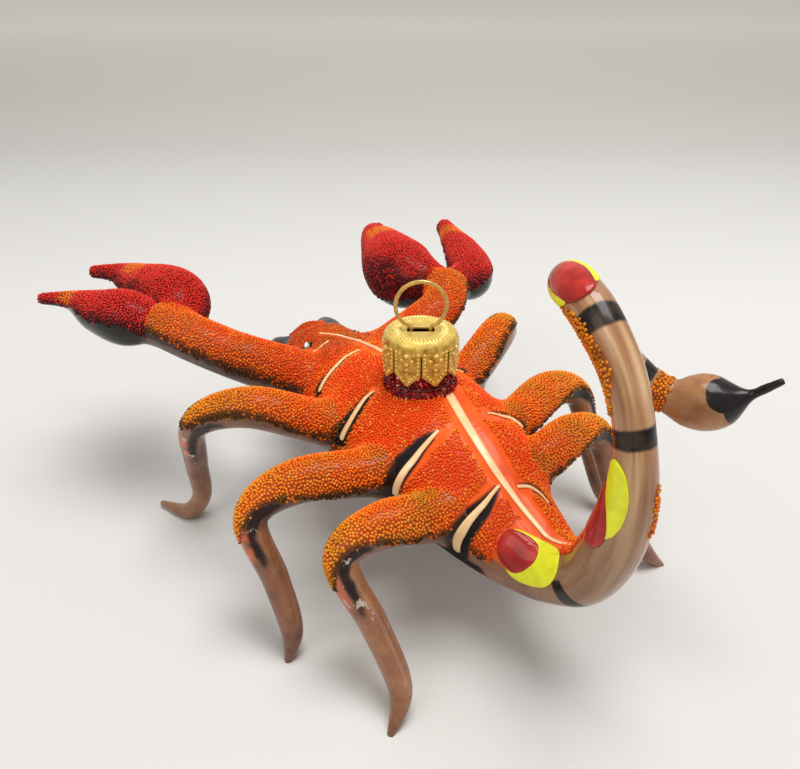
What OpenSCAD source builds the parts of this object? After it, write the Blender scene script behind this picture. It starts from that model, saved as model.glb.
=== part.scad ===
// Blown-glass scorpion that stands on six legs and hangs by a capped neck.
// Millimetres. Z is up, the head looks along -Y and the scorpion's left side is +X.
// The origin is on the floor, under the middle of the overall box.

/* [Body] */
// Length of the body from the brow to the root of the tail
body_length = 81; // [74:0.5:88]
// Distance from the brow back to the neck
neck_back = 42; // [38:0.5:46]
// Greatest width of the body
body_width = 32; // [28:0.5:36]
// Greatest height of the body
body_height = 25; // [22:0.5:28]
// Height of the belly above the floor
belly_height = 12; // [10:0.5:14]
// Thickness of the blown glass
glass_wall = 1.2; // [0.8:0.1:1.6]
// Thickness of the layer of glued beads
bead_coat = 0.6; // [0.4:0.05:0.9]

/* [Neck, cap and hanger] */
// Radius of the glass neck
neck_r = 6.2; // [5.6:0.1:6.8]
// Thickness of the neck's glass
neck_wall = 1; // [0.8:0.1:1.4]
// Height of the band of glitter above the crest of the body
glitter_height = 1; // [0.6:0.1:1.6]
// Radius of the band of glitter at its foot
glitter_r = 7.5; // [7.2:0.1:8]
// Gap between the glitter and the points of the cap's petals
petal_gap = 0.85; // [0.5:0.05:1.5]
// Gap between the neck and the cap
cap_gap = 0.3; // [0.2:0.05:0.5]
// Thickness of the cap's sheet metal
cap_sheet = 0.4; // [0.3:0.05:0.6]
// Height of the cap from the tips of its petals to its crown
cap_height = 8.4; // [7.8:0.1:9]
// Rounding of the edge of the cap's crown
crown_edge = 0.7; // [0.4:0.1:1]
// Height of the petals' points
petal_point = 2.2; // [1.5:0.1:3]
// Length of the slot in the crown of the cap
slot_length = 5; // [4.6:0.1:6]
// Width of the slot
slot_width = 1.8; // [1.6:0.1:2.4]
// Turn of the cap on the neck
cap_turn = -33.5; // [-180:0.5:180]
// Radius of the hanger's wire
wire_r = 0.42; // [0.3:0.02:0.5]
// Radius of the hanger's ring, to the middle of the wire
ring_r = 4.6; // [4.2:0.1:5]
// Depth of the hanger's legs below the crown
wire_depth = 8; // [6:0.5:9]
// Gap between the foot of each wire leg and the inside of the neck
wire_play = 1; // [0.6:0.1:1.6]

/* [Legs] */
// Radius of a leg in the middle of its thigh
thigh_r = 3.8; // [3:0.1:4.5]
// Radius of a leg at its knee
knee_r = 2.8; // [2.2:0.1:3.4]
// Radius of a leg in the middle of its shin
shin_r = 2.4; // [2:0.1:3]
// Radius of a leg at its ankle
ankle_r = 2; // [1.6:0.1:2.4]
// Radius of a leg at the end of its toe
toe_r = 0.6; // [0.4:0.05:0.9]
// Girth of the middle legs beside the others
middle_girth = 1.02; // [1:0.02:1.2]
// Front hip: outward from the side of the body, back from the neck and up from the belly
front_hip = [-1, -9, 15]; // [-60:0.5:60]
// Arch of the front thigh, measured in the same way
front_arch = [13, -14, 21]; // [-60:0.5:60]
// Front knee, measured in the same way
front_knee = [21, -22, 16]; // [-60:0.5:60]
// Front shin: outward from the side of the body, back from the neck and up from the floor
front_shin = [20.5, -27.5, 16]; // [-60:0.5:60]
// Front ankle, measured up from the floor too
front_ankle = [20, -29, 6]; // [-60:0.5:60]
// Sole of the front foot
front_sole = [23, -31, 1.6]; // [-60:0.5:60]
// Front toe
front_toe = [26.5, -37.5, 0.9]; // [-60:0.5:60]
// Middle hip: outward from the side of the body, back from midway between neck and tail, up from the belly
middle_hip = [-1, -11.5, 14]; // [-60:0.5:60]
// Arch of the middle thigh, measured in the same way
middle_arch = [12.5, -16.5, 14.2]; // [-60:0.5:60]
// Middle knee, measured in the same way
middle_knee = [21.3, -16.3, 10.5]; // [-60:0.5:60]
// Middle shin: outward and back in the same way, and up from the floor
middle_shin = [20.6, -10, 13]; // [-60:0.5:60]
// Middle ankle, measured up from the floor too
middle_ankle = [20.5, -5.2, 5]; // [-60:0.5:60]
// Middle toe
middle_toe = [22.5, -3.5, -0.3]; // [-60:0.5:60]
// Rear hip: outward from the side of the body, back from the root of the tail and up from the belly
rear_hip = [-5, -17, 11.5]; // [-60:0.5:60]
// Arch of the rear thigh, measured in the same way
rear_arch = [5.5, -18.5, 13.5]; // [-60:0.5:60]
// Rear knee, measured in the same way
rear_knee = [13.4, -18.5, 10.2]; // [-60:0.5:60]
// Rear shin: outward from the side of the body, back from the root of the tail and up from the floor
rear_shin = [11.6, -11.5, 12.3]; // [-60:0.5:60]
// Rear ankle, measured up from the floor too
rear_ankle = [11.5, -4.2, 4.8]; // [-60:0.5:60]
// Rear toe
rear_toe = [15.5, -1, -0.3]; // [-60:0.5:60]
// Thigh of the right front leg beside the mirror image of the left one: outward, back and up
right_front_shift = [0.9, 1, -0.5]; // [-5:0.1:5]
// Thigh of the right middle leg beside the mirror image of the left one
right_middle_shift = [0.9, 1.8, 0.6]; // [-5:0.1:5]
// Thigh of the right rear leg beside the mirror image of the left one
right_rear_shift = [0, -0.8, 1.5]; // [-5:0.1:5]
// Foot of the right front leg beside the mirror image of the left one
right_front_step = [0.9, 1, 0]; // [-5:0.1:5]
// Foot of the right middle leg beside the mirror image of the left one
right_middle_step = [0.9, 1.8, 0]; // [-5:0.1:5]
// Foot of the right rear leg beside the mirror image of the left one
right_rear_step = [3.3, -2.3, 0]; // [-5:0.1:5]

/* [Arms and claws] */
// Radius of an arm where it leaves the body
shoulder_r = 5.4; // [4.5:0.1:6]
// Radius of an arm at its wrist
wrist_r = 4.4; // [3.8:0.1:5]
// Shoulder of both arms: outward from the side of the body, back from the brow and up from the belly
shoulder = [-5, 15, 16]; // [-60:0.5:60]
// Elbow of the left arm: outward, along the body and up from the shoulder
left_elbow = [13, -5, 6.6]; // [-60:0.5:60]
// Wrist of the left arm, from the shoulder too
left_wrist = [23, -16, 11.4]; // [-60:0.5:60]
// Elbow of the right arm, measured outward in the same way
right_elbow = [14, -1, 6]; // [-60:0.5:60]
// Wrist of the right arm
right_wrist = [20, -6.5, 9]; // [-60:0.5:60]
// Swell of the left outer finger: outward, along the body and up from the wrist, and its radius
left_outer_swell = [5.3, -6.4, 0.6, 5.7]; // [-40:0.1:40]
// Bend of the left outer finger
left_outer_bend = [9.6, -13.3, 0.6, 4.6]; // [-40:0.1:40]
// Hook of the left outer finger
left_outer_hook = [13.4, -21.6, 1.1, 2]; // [-40:0.1:40]
// Tip of the left outer finger
left_outer_tip = [18.7, -24.9, 1.6, 1.1]; // [-40:0.1:40]
// Swell of the left inner finger
left_inner_swell = [-5.4, -8.9, 0.6, 7.1]; // [-40:0.1:40]
// Bend of the left inner finger
left_inner_bend = [-2.5, -24, 0.6, 4.5]; // [-40:0.1:40]
// Hook of the left inner finger
left_inner_hook = [0.6, -31.8, 1.1, 2.2]; // [-40:0.1:40]
// Tip of the left inner finger
left_inner_tip = [5.2, -34.5, 1.6, 1.3]; // [-40:0.1:40]
// Swell of the right outer finger
right_outer_swell = [9, -2.5, -1, 5.4]; // [-40:0.1:40]
// Bend of the right outer finger
right_outer_bend = [14.8, -13.1, 0, 4.7]; // [-40:0.1:40]
// Hook of the right outer finger
right_outer_hook = [18.4, -22.9, 1.5, 2.8]; // [-40:0.1:40]
// Tip of the right outer finger
right_outer_tip = [20.4, -29, 2.5, 1.9]; // [-40:0.1:40]
// Swell of the right inner finger
right_inner_swell = [-3.6, -12.8, -1, 8.3]; // [-40:0.1:40]
// Bend of the right inner finger
right_inner_bend = [0.6, -29.2, 0, 5.7]; // [-40:0.1:40]
// Hook of the right inner finger
right_inner_hook = [2.3, -36.7, 1.5, 2.9]; // [-40:0.1:40]
// Tip of the right inner finger
right_inner_tip = [4.9, -37.6, 2.5, 1.4]; // [-40:0.1:40]

/* [Head] */
// Length of a jaw beyond the snout
jaw_length = 5; // [4:0.2:6.5]
// Distance of a jaw from the middle of the head, as a share of half the body's width
jaw_out = 0.34; // [0.3:0.01:0.38]
// Height of a jaw above the belly, as a share of the body's height
jaw_rise = 0.55; // [0.51:0.01:0.59]
// Radius of a jaw
jaw_r = 3.4; // [2.8:0.1:4]
// Drop of the left jaw below the right one
left_jaw_drop = 2; // [1:0.2:3]
// Radius of an eye
eye_r = 1.1; // [0.8:0.05:1.4]

/* [Tail and stinger] */
// Radius of the tail at its root
tail_root_r = 6; // [5.5:0.1:6.5]
// Height of the middle of the tail's root above the belly
tail_root_rise = 7.8; // [7:0.1:8.6]
// Radius of the tail where it stands upright
tail_r = 3.5; // [3.1:0.1:3.9]
// Radius of the tail where the stinger begins
tail_end_r = 2.9; // [2.5:0.1:3.3]
// Height of the tail's curl above its root, to the middle of the tube
tail_rise = 46; // [42:0.5:50]
// Greatest radius of the stinger's bulb
bulb_r = 4.6; // [4:0.1:5.2]
// Radius of the spike's tip
spike_tip_r = 0.6; // [0.45:0.05:0.8]
// Height of a drop of enamel over the glass
drop_height = 0.9; // [0.5:0.1:1.3]

/* [Hidden] */
$fn = 64;
// Columns round a limb and round the spine, and rings between two points of a route
limb_sides = 10;
spine_sides = 16;
steps = 3;
// Gap under the crown of the cap, and gap beside the wire in the slot
seat_gap = 0.05;
wire_gap = 0.2;
petals = 8;

// Smooth curve through the rows of a route
function bend(a, b, c, d, t) = 0.5 * (2 * b + (c - a) * t + (2 * a - 5 * b + 4 * c - d) * t * t
    + (3 * b - a - 3 * c + d) * t * t * t);
function curve(rows) = let (n = len(rows) - 1) concat([for (i = [0:n - 1]) for (j = [0:steps - 1])
    bend(rows[max(i - 1, 0)], rows[i], rows[i + 1], rows[min(i + 2, n)], j / steps)], [rows[n]]);
function unit(v) = v / norm(v);
function xyz(p) = [p[0], p[1], p[2]];
function mix(a, b, t) = a + (b - a) * t;

// A limb is its curve, its count of columns and the direction that its first column turns about
function limb(rows, sides, turn) = [curve(rows), sides, turn];
function last(l) = len(l[0]) - 1;
function heading(l, i) = unit(xyz(l[0][min(i + 1, last(l))]) - xyz(l[0][max(i - 1, 0)]));
function rim(l, i, k, lift) = let (t = heading(l, i), u = unit(cross(l[2], t)), w = cross(t, u),
    a = 360 * k / l[1], c = l[0][i])
    xyz(c) + (c[3] + lift) * cos(a) * u + (c[4] + lift) * sin(a) * w;
function ring(l, i, lift) = [for (k = [0:l[1] - 1]) rim(l, i, k, lift(i, k))];
flat = function (i, k) 0;
inset = function (i, k) -glass_wall;

// Faces between rings a and b of n columns, numbered from a ring at index s, seen from outside
function side_faces(a, b, n, s) = [for (i = [a:b - 1]) for (k = [0:n - 1])
    let (p = s + i * n + k, q = s + i * n + (k + 1) % n)
    each [[p, p + n, q + n], [p, q + n, q]]];
function turned(faces) = [for (f = faces) [f[0], f[2], f[1]]];
function fan(s, n, c) = [for (k = [0:n - 1]) [c, s + k, s + (k + 1) % n]];

// Closed tube from ring a to ring b
module tube(l, a, b, lift) {
    n = l[1];
    m = b - a;
    polyhedron(
        concat([for (i = [a:b]) each ring(l, i, lift)], [xyz(l[0][a]), xyz(l[0][b])]),
        concat(side_faces(0, m, n, 0), fan(0, n, (m + 1) * n), turned(fan(m * n, n, (m + 1) * n + 1))));
}

// Blown tube, open at ring a, closed at ring b and hollow as far as ring c
module blown(l, a, b, c) {
    n = l[1];
    m = b - a;
    h = c - a;
    s = (m + 1) * n;
    e = s + (h + 1) * n;
    polyhedron(
        concat([for (i = [a:b]) each ring(l, i, flat)], [for (i = [a:c]) each ring(l, i, inset)],
            [xyz(l[0][b]), xyz(l[0][c])]),
        concat(side_faces(0, m, n, 0), turned(fan(m * n, n, e)),
            [for (k = [0:n - 1]) let (j = (k + 1) % n) each [[k, j, s + j], [k, s + j, s + k]]],
            turned(side_faces(0, h, n, s)), fan(s + h * n, n, e + 1)));
}

// Layer raised from the limb's surface over rings a to b and columns c to d, down to nothing at its edge
module raised(l, a, b, c, d, lift) {
    w = d - c + 1;
    count = (b - a + 1) * w;
    function low(i, k) = (i - a) * w + k - c;
    function high(i, k) = low(i, k) + (lift(i, k) > 0 ? count : 0);
    function corners(f, i, k) = [[f(i, k), f(i + 1, k), f(i + 1, k + 1)],
        [f(i, k), f(i + 1, k + 1), f(i, k + 1)]];
    function tops(i, k) = corners(function (i, k) high(i, k), i, k);
    function bottoms(i, k) = corners(function (i, k) low(i, k), i, k);
    polyhedron(
        concat([for (i = [a:b]) for (k = [c:d]) rim(l, i, k, 0)],
            [for (i = [a:b]) for (k = [c:d]) rim(l, i, k, lift(i, k))]),
        [for (i = [a:b - 1]) for (k = [c:d - 1]) for (j = [0:1])
            let (t = tops(i, k)[j], u = bottoms(i, k)[j])
            if (t != u) each [t, [u[0], u[2], u[1]]]]);
}

// Beads over rings a to b and m columns to each side, and the limb with its beads on
function beaded(a, b, m) = function (i, k) i > a && i < b && abs(k) <= m ? bead_coat : 0;
module beads(l, a, b, m) raised(l, a, b, -m - 1, m + 1, beaded(a, b, m));
module dressed(l, a, b, m) tube(l, 0, last(l), function (i, k)
    beaded(a, b, m)(i, k > l[1] / 2 ? k - l[1] : k));

// Spine: snout, body, tail, stinger's bulb and spike, as height and width at each point
brow = -neck_back;
side = body_width / 2;
crest = belly_height + body_height;
root_y = brow + body_length;
root_z = belly_height + tail_root_rise;
function station(f, width, top, bottom) = [0, brow + f * body_length,
    belly_height + body_height * (top + bottom) / 2, body_height * (top - bottom) / 2, side * width];
// A point of the tail is measured from its root, as shares of the tail's rise
function tail_point(x, y, z, r) = [x * tail_rise, root_y + y * tail_rise, root_z + z * tail_rise, r, r];
body_rows = [station(-0.055, 0.25, 0.745, 0.46), station(0, 0.5, 0.78, 0.28),
    station(0.14, 0.74, 0.83, 0.12), station(0.35, 0.95, 0.97, 0.04), station(0.52, 1, 1, 0),
    station(0.67, 0.9, 0.92, -0.03), station(0.81, 0.66, 0.74, -0.08), station(0.92, 0.49, 0.61, -0.03),
    tail_point(0, 0, 0, tail_root_r)];
tail_rows = [tail_point(0, 0.14, 0.08, tail_r * 1.34), tail_point(0, 0.226, 0.265, tail_r * 1.26),
    tail_point(0, 0.264, 0.48, tail_r * 1.01), tail_point(0, 0.238, 0.68, tail_r * 0.82),
    tail_point(-0.005, 0.156, 0.86, tail_r * 0.83), tail_point(-0.025, 0.005, 0.985, tail_r * 0.92),
    tail_point(-0.1, -0.17, 1, tail_r * 0.92), tail_point(-0.25, -0.24, 0.88, tail_end_r),
    tail_point(-0.352, -0.185, 0.705, tail_end_r), tail_point(-0.437, -0.07, 0.575, tail_end_r),
    tail_point(-0.475, -0.01, 0.55, tail_end_r)];
bulb_rows = [tail_point(-0.505, 0.045, 0.547, bulb_r * 0.9), tail_point(-0.535, 0.1, 0.558, bulb_r),
    tail_point(-0.562, 0.155, 0.582, bulb_r * 0.82)];
spike_rows = [tail_point(-0.592, 0.212, 0.622, spike_tip_r * 1.7),
    tail_point(-0.612, 0.252, 0.662, spike_tip_r * 1.2),
    tail_point(-0.63, 0.288, 0.7, spike_tip_r * 0.9)];
spine = limb(concat(body_rows, tail_rows, bulb_rows, spike_rows), spine_sides, [1, 0, 0]);
tail_start = (len(body_rows) - 1) * steps;
bulb_start = tail_start + len(tail_rows) * steps;
spike_start = bulb_start + len(bulb_rows) * steps;
// Ring where the body's beads end, at the edge of the first drop of enamel
coat_end = tail_start - 4;
// Columns of beads to each side of the top of a piece
spine_columns = 3;
leg_columns = 2;
arm_columns = 2;
finger_columns = 3;
// Ring and column of the spine that carry an eye
eye_ring = steps + 2;
eye_column = 1.6;

// Legs, on the side given by s: root, hip, arch and knee go up with the belly, the rest stands on the floor
function limb_row(p, r, s) = [s * p[0], p[1], p[2], r, r];
function leg(s, g, from, hip, arch, knee, lower, radii, shift, step) = let (
    high = [side, from, belly_height] + (s > 0 ? [0, 0, 0] : shift),
    low = [side, from, 0] + (s > 0 ? [0, 0, 0] : step)) limb(concat(
    [limb_row(high + hip - [side / 2, 0, 2], (thigh_r + 0.8) * g, s),
        limb_row(high + hip, (thigh_r + 0.4) * g, s),
        limb_row(high + arch, thigh_r * g, s), limb_row(high + knee, knee_r * g, s)],
    [for (j = [0:len(lower) - 1]) limb_row(low + lower[j], radii[j], s)]), limb_sides, [0, -s, 0]);
function front_leg(s) = leg(s, 1, 0, front_hip, front_arch, front_knee,
    [front_shin, front_ankle, front_sole, front_toe], [shin_r, ankle_r, ankle_r * 0.86, toe_r],
    right_front_shift, right_front_step);
function middle_leg(s) = leg(s, middle_girth, root_y / 2, middle_hip, middle_arch, middle_knee,
    [middle_shin, middle_ankle, middle_toe], [shin_r, ankle_r, toe_r],
    right_middle_shift, right_middle_step);
function rear_leg(s) = leg(s, 1, root_y, rear_hip, rear_arch, rear_knee,
    [rear_shin, rear_ankle, rear_toe], [shin_r, ankle_r, toe_r], right_rear_shift, right_rear_step);
knee_ring = 3 * steps;

// Arms and the two fingers of each claw
arm_root = shoulder + [side, brow, belly_height];
function arm(s, elbow, wrist) = limb([limb_row(arm_root - [7, -3, 2], shoulder_r, s),
    limb_row(arm_root, shoulder_r, s), limb_row(arm_root + elbow, mix(shoulder_r, wrist_r, 0.6), s),
    limb_row(arm_root + wrist, wrist_r, s),
    limb_row(arm_root + wrist + 0.25 * (wrist - elbow), wrist_r * 0.4, s)], limb_sides, [0, -s, 0]);
function finger(s, wrist, points) = limb(concat([limb_row(wrist, wrist_r * 0.6, s)],
    [for (p = points) limb_row(wrist + xyz(p), p[3], s)]), limb_sides, [-0.7, -0.7 * s, 0]);
function arm_of(s) = s > 0 ? arm(1, left_elbow, left_wrist) : arm(-1, right_elbow, right_wrist);
function wrist_of(s) = arm_root + (s > 0 ? left_wrist : right_wrist);
function outer_finger(s) = finger(s, wrist_of(s), s > 0
    ? [left_outer_swell, left_outer_bend, left_outer_hook, left_outer_tip]
    : [right_outer_swell, right_outer_bend, right_outer_hook, right_outer_tip]);
function inner_finger(s) = finger(s, wrist_of(s), s > 0
    ? [left_inner_swell, left_inner_bend, left_inner_hook, left_inner_tip]
    : [right_inner_swell, right_inner_bend, right_inner_hook, right_inner_tip]);
snout = body_rows[0][1];
function jaw_row(share, y, drop, r, s) = limb_row([side * jaw_out * share, snout + y,
    belly_height + body_height * jaw_rise - (s > 0 ? left_jaw_drop : 0) - drop], r, s);
function jaw(s) = limb([jaw_row(0.6, 6, 1, jaw_r * 0.9, s), jaw_row(1, 2, 0, jaw_r, s),
    jaw_row(1.15, -jaw_length * 0.6, 0, jaw_r * 0.85, s), jaw_row(1.2, -jaw_length, 0.7, jaw_r * 0.4, s)],
    limb_sides, [-0.7, -0.7 * s, 0]);

// The origin lies midway between the foremost fingertip and the back of the tail
function reach(l) = [for (i = [0:last(l)]) each [for (p = ring(l, i, flat)) p[1]]];
foremost = min(concat(reach(inner_finger(1)), reach(inner_finger(-1))));
rearmost = max(reach(spine));
module place() translate([0, -(foremost + rearmost) / 2, 0]) children();
module body_solid() tube(spine, 0, tail_start, flat);
module body_dressed() tube(spine, 0, tail_start, function (i, k)
    beaded(1, coat_end, spine_columns)(i, k > spine_sides / 2 ? k - spine_sides : k));
// Floor under everything, wide enough for the whole span of the legs
floor_span = 4 * body_length;
module floor_cut() translate([-floor_span / 2, -floor_span / 2, -belly_height])
    cube([floor_span, floor_span, belly_height]);

glass = [0.62, 0.42, 0.28];
orange = [0.9, 0.4, 0.1];
red = [0.55, 0.08, 0.1];
gold = [0.85, 0.68, 0.3];

// Glass
neck_top = crest + glitter_height + petal_gap + cap_height - cap_sheet - seat_gap;
neck_foot = belly_height + body_height / 2;
module body_shell() color(glass) place() difference() {
    body_solid();
    tube(spine, 2, tail_start - 1, inset);
    translate([0, 0, neck_foot]) cylinder(r = neck_r - neck_wall, h = body_height);
}
module neck_tube() color(glass) place() difference() {
    translate([0, 0, neck_foot]) cylinder(r = neck_r, h = neck_top - neck_foot);
    translate([0, 0, neck_foot - 1]) cylinder(r = neck_r - neck_wall, h = neck_top - neck_foot + 2);
    body_solid();
}
module tail_tube() color(glass) place() blown(spine, tail_start, bulb_start, bulb_start - 2);
module stinger_bulb() color(glass) place() blown(spine, bulb_start, spike_start, spike_start - 3);
module stinger_spike() color(glass) place() tube(spine, spike_start, last(spine), flat);
module leg_glass(l) color(glass) place() difference() {
    blown(l, 0, last(l), knee_ring);
    body_dressed();
    floor_cut();
}
module left_front_leg() leg_glass(front_leg(1));
module left_middle_leg() leg_glass(middle_leg(1));
module left_rear_leg() leg_glass(rear_leg(1));
module right_front_leg() leg_glass(front_leg(-1));
module right_middle_leg() leg_glass(middle_leg(-1));
module right_rear_leg() leg_glass(rear_leg(-1));
module arm_glass(s) color(glass) place() difference() {
    blown(arm_of(s), 0, last(arm_of(s)), last(arm_of(s)) - 3);
    body_dressed();
}
module left_arm() arm_glass(1);
module right_arm() arm_glass(-1);

module finger_glass(l) blown(l, 0, last(l), 3 * steps);
module dressed_arm(s) dressed(arm_of(s), 1, last(arm_of(s)) - 1, arm_columns);
module dressed_finger(l) dressed(l, 1, last(l) - 1, finger_columns);
module outer_glass(s) color(glass) place() difference() {
    finger_glass(outer_finger(s));
    dressed_arm(s);
}
module inner_glass(s) color(glass) place() difference() {
    finger_glass(inner_finger(s));
    dressed_arm(s);
    dressed_finger(outer_finger(s));
}
module left_outer_finger() outer_glass(1);
module left_inner_finger() inner_glass(1);
module right_outer_finger() outer_glass(-1);
module right_inner_finger() inner_glass(-1);
module jaw_glass(s) color(glass) place() difference() {
    tube(jaw(s), 0, last(jaw(s)), flat);
    body_dressed();
}
module left_jaw() jaw_glass(1);
module right_jaw() jaw_glass(-1);
module eye(s) color("black") place() difference() {
    translate(rim(spine, eye_ring, eye_column * s, bead_coat)) sphere(r = eye_r, $fn = 24);
    body_dressed();
}
module left_eye() eye(1);
module right_eye() eye(-1);

// Layers of beads
module body_beads() color(orange) place() difference() {
    beads(spine, 1, coat_end, spine_columns);
    translate([0, 0, neck_foot]) cylinder(r = glitter_r, h = body_height);
}
module tail_beads() color(orange) place() {
    beads(spine, tail_start + 1, tail_start + 6, 1);
    beads(spine, tail_start + 11, tail_start + 19, 1);
    difference() {
        tube(spine, bulb_start - 3, bulb_start - 1, function (i, k) bead_coat);
        tube(spine, bulb_start - 4, bulb_start, flat);
    }
}
module leg_beads(l) color(orange) place() difference() {
    beads(l, 1, knee_ring + 3, leg_columns);
    body_dressed();
}
module left_front_leg_beads() leg_beads(front_leg(1));
module left_middle_leg_beads() leg_beads(middle_leg(1));
module left_rear_leg_beads() leg_beads(rear_leg(1));
module right_front_leg_beads() leg_beads(front_leg(-1));
module right_middle_leg_beads() leg_beads(middle_leg(-1));
module right_rear_leg_beads() leg_beads(rear_leg(-1));
module arm_beads(s) color(orange) place() difference() {
    beads(arm_of(s), 1, last(arm_of(s)) - 1, arm_columns);
    body_dressed();
}
module left_arm_beads() arm_beads(1);
module right_arm_beads() arm_beads(-1);
module outer_beads(s) color(red) place() difference() {
    beads(outer_finger(s), 1, last(outer_finger(s)) - 1, finger_columns);
    dressed_arm(s);
}
module inner_beads(s) color(red) place() difference() {
    beads(inner_finger(s), 1, last(inner_finger(s)) - 1, finger_columns);
    dressed_arm(s);
    dressed_finger(outer_finger(s));
}
module left_outer_finger_beads() outer_beads(1);
module left_inner_finger_beads() inner_beads(1);
module right_outer_finger_beads() outer_beads(-1);
module right_inner_finger_beads() inner_beads(-1);

// Drops of enamel, centred on ring i and column k
function dome(i, k, di, dk) = function (a, b)
    let (q = 1 - pow((a - i) / di, 2) - pow((b - k) / dk, 2)) q > 0 ? drop_height * sqrt(q) : 0;
module drop(i, k, di, dk) color(red) place()
    raised(spine, floor(i - di), ceil(i + di), floor(k - dk), ceil(k + dk), dome(i, k, di, dk));
module root_drop() drop(tail_start - 1.6, 2.9, 2, 1.5);
module upright_drop() drop(tail_start + 8, 2.5, 1.8, 1.4);
module crown_drop() drop(tail_start + 20.2, 6, 1.9, 2.5);

// Fittings of the neck
cap_in = neck_r + cap_gap;
cap_out = cap_in + cap_sheet;
crown = neck_top + seat_gap;
cap_foot = crown + cap_sheet - cap_height;
petal_half = 0.94 * cap_in * tan(180 / petals);
slit_width = 0.3;
slit_height = 0.75 * cap_height;
module glitter_band() color(red) place() difference() {
    rotate_extrude() polygon([[neck_r, neck_foot], [glitter_r, neck_foot],
        [glitter_r, crest - glitter_height * 0.3],
        [mix(neck_r, glitter_r, 0.5), crest + glitter_height * 0.5],
        [mix(neck_r, glitter_r, 0.3), crest + glitter_height], [neck_r, crest + glitter_height]]);
    body_solid();
}
module cap() color(gold) place() rotate([0, 0, cap_turn]) difference() {
    rotate_extrude() polygon([[0, crown], [cap_in, crown], [cap_in, cap_foot], [cap_out, cap_foot],
        [cap_out, crown + cap_sheet - crown_edge], [cap_out - crown_edge, crown + cap_sheet],
        [0, crown + cap_sheet]]);
    translate([-slot_length / 2, -slot_width / 2, crown - cap_sheet])
        cube([slot_length, slot_width, 3 * cap_sheet]);
    for (k = [0:petals - 1]) rotate([0, 0, 360 * k / petals]) translate([neck_r / 2, 0, cap_foot]) {
        rotate([90, 0, 90]) linear_extrude(neck_r)
            polygon([[-2 * petal_half, -petal_point], [2 * petal_half, -petal_point], [0, petal_point]]);
        translate([0, -slit_width / 2, -slit_width]) cube([neck_r, slit_width, slit_width + slit_height]);
    }
}

// Hanger: one wire, from a leg in the neck through the slot, round the ring and back
wire_gate = slot_length / 2 - wire_r - wire_gap;
wire_splay = neck_r - neck_wall - wire_r - wire_play;
ring_z = crown + 2 * cap_sheet + sqrt(ring_r * ring_r - wire_gate * wire_gate);
ring_start = asin(wire_gate / ring_r);
ring_points = 10;
function wire_row(x, z) = [x, 0, z, wire_r, wire_r];
function wire_leg(s) = [wire_row(s * wire_splay, crown - wire_depth),
    wire_row(s * mix(wire_gate, wire_splay, 0.5), crown - wire_depth / 2),
    wire_row(s * wire_gate, crown - cap_sheet)];
function backwards(rows) = [for (j = [len(rows) - 1:-1:0]) rows[j]];
wire = limb(concat(wire_leg(-1),
    [for (j = [0:ring_points]) let (a = mix(ring_start, 360 - ring_start, j / ring_points))
        wire_row(-ring_r * sin(a), ring_z - ring_r * cos(a))],
    backwards(wire_leg(1))), 8, [0, 1, 0]);
module hanger() color(gold) place() rotate([0, 0, cap_turn]) tube(wire, 0, last(wire), flat);

body_shell();
neck_tube();
tail_tube();
stinger_bulb();
stinger_spike();
left_jaw();
right_jaw();
left_eye();
right_eye();
left_front_leg();
left_middle_leg();
left_rear_leg();
right_front_leg();
right_middle_leg();
right_rear_leg();
left_arm();
right_arm();
left_outer_finger();
left_inner_finger();
right_outer_finger();
right_inner_finger();
body_beads();
tail_beads();
left_front_leg_beads();
left_middle_leg_beads();
left_rear_leg_beads();
right_front_leg_beads();
right_middle_leg_beads();
right_rear_leg_beads();
left_arm_beads();
right_arm_beads();
left_outer_finger_beads();
left_inner_finger_beads();
right_outer_finger_beads();
right_inner_finger_beads();
root_drop();
upright_drop();
crown_drop();
glitter_band();
cap();
hanger();
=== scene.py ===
import math

import bmesh
import bpy
import numpy as np
from mathutils import Matrix, Vector, noise
from mathutils.bvhtree import BVHTree


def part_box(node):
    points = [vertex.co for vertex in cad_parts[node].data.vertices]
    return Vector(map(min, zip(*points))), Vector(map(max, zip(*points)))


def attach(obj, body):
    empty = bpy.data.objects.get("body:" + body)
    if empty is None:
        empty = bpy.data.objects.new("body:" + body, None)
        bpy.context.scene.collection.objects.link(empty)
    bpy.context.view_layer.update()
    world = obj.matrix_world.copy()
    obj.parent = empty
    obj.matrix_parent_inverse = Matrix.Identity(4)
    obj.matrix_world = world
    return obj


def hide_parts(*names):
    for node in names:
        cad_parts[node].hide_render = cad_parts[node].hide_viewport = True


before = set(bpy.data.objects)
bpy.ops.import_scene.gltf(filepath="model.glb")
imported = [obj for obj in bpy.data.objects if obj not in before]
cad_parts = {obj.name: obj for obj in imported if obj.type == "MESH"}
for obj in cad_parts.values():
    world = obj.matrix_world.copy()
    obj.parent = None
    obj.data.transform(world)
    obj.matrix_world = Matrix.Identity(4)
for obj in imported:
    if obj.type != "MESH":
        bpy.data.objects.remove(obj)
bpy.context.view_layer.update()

# Every shape is made in millimetres from the neck's axis and the floor, then put into the frame in metres
neckLow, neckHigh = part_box("neck_tube")
neckAxis = ((neckLow.x + neckHigh.x) / 2, (neckLow.y + neckHigh.y) / 2, 0)
toFrame = Matrix.Translation(neckAxis) @ Matrix.Scale(0.001, 4)
scene = bpy.context.scene


# Camera

view = {"azimuth": 146.5, "elevation": 30, "distance": 145, "aim": (4.54, 0, 37),
        "lens": 35.1, "sensor": 36, "near": .005}


def link(name, data):
    made = bpy.data.objects.new(name, data)
    scene.collection.objects.link(made)
    return made


def aimed(name, data, spot, target):
    made = link(name, data)
    made.location, made.rotation_mode = spot, "QUATERNION"
    made.rotation_quaternion = (Vector(target) - Vector(spot)).to_track_quat("-Z", "Y")
    return made


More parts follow.
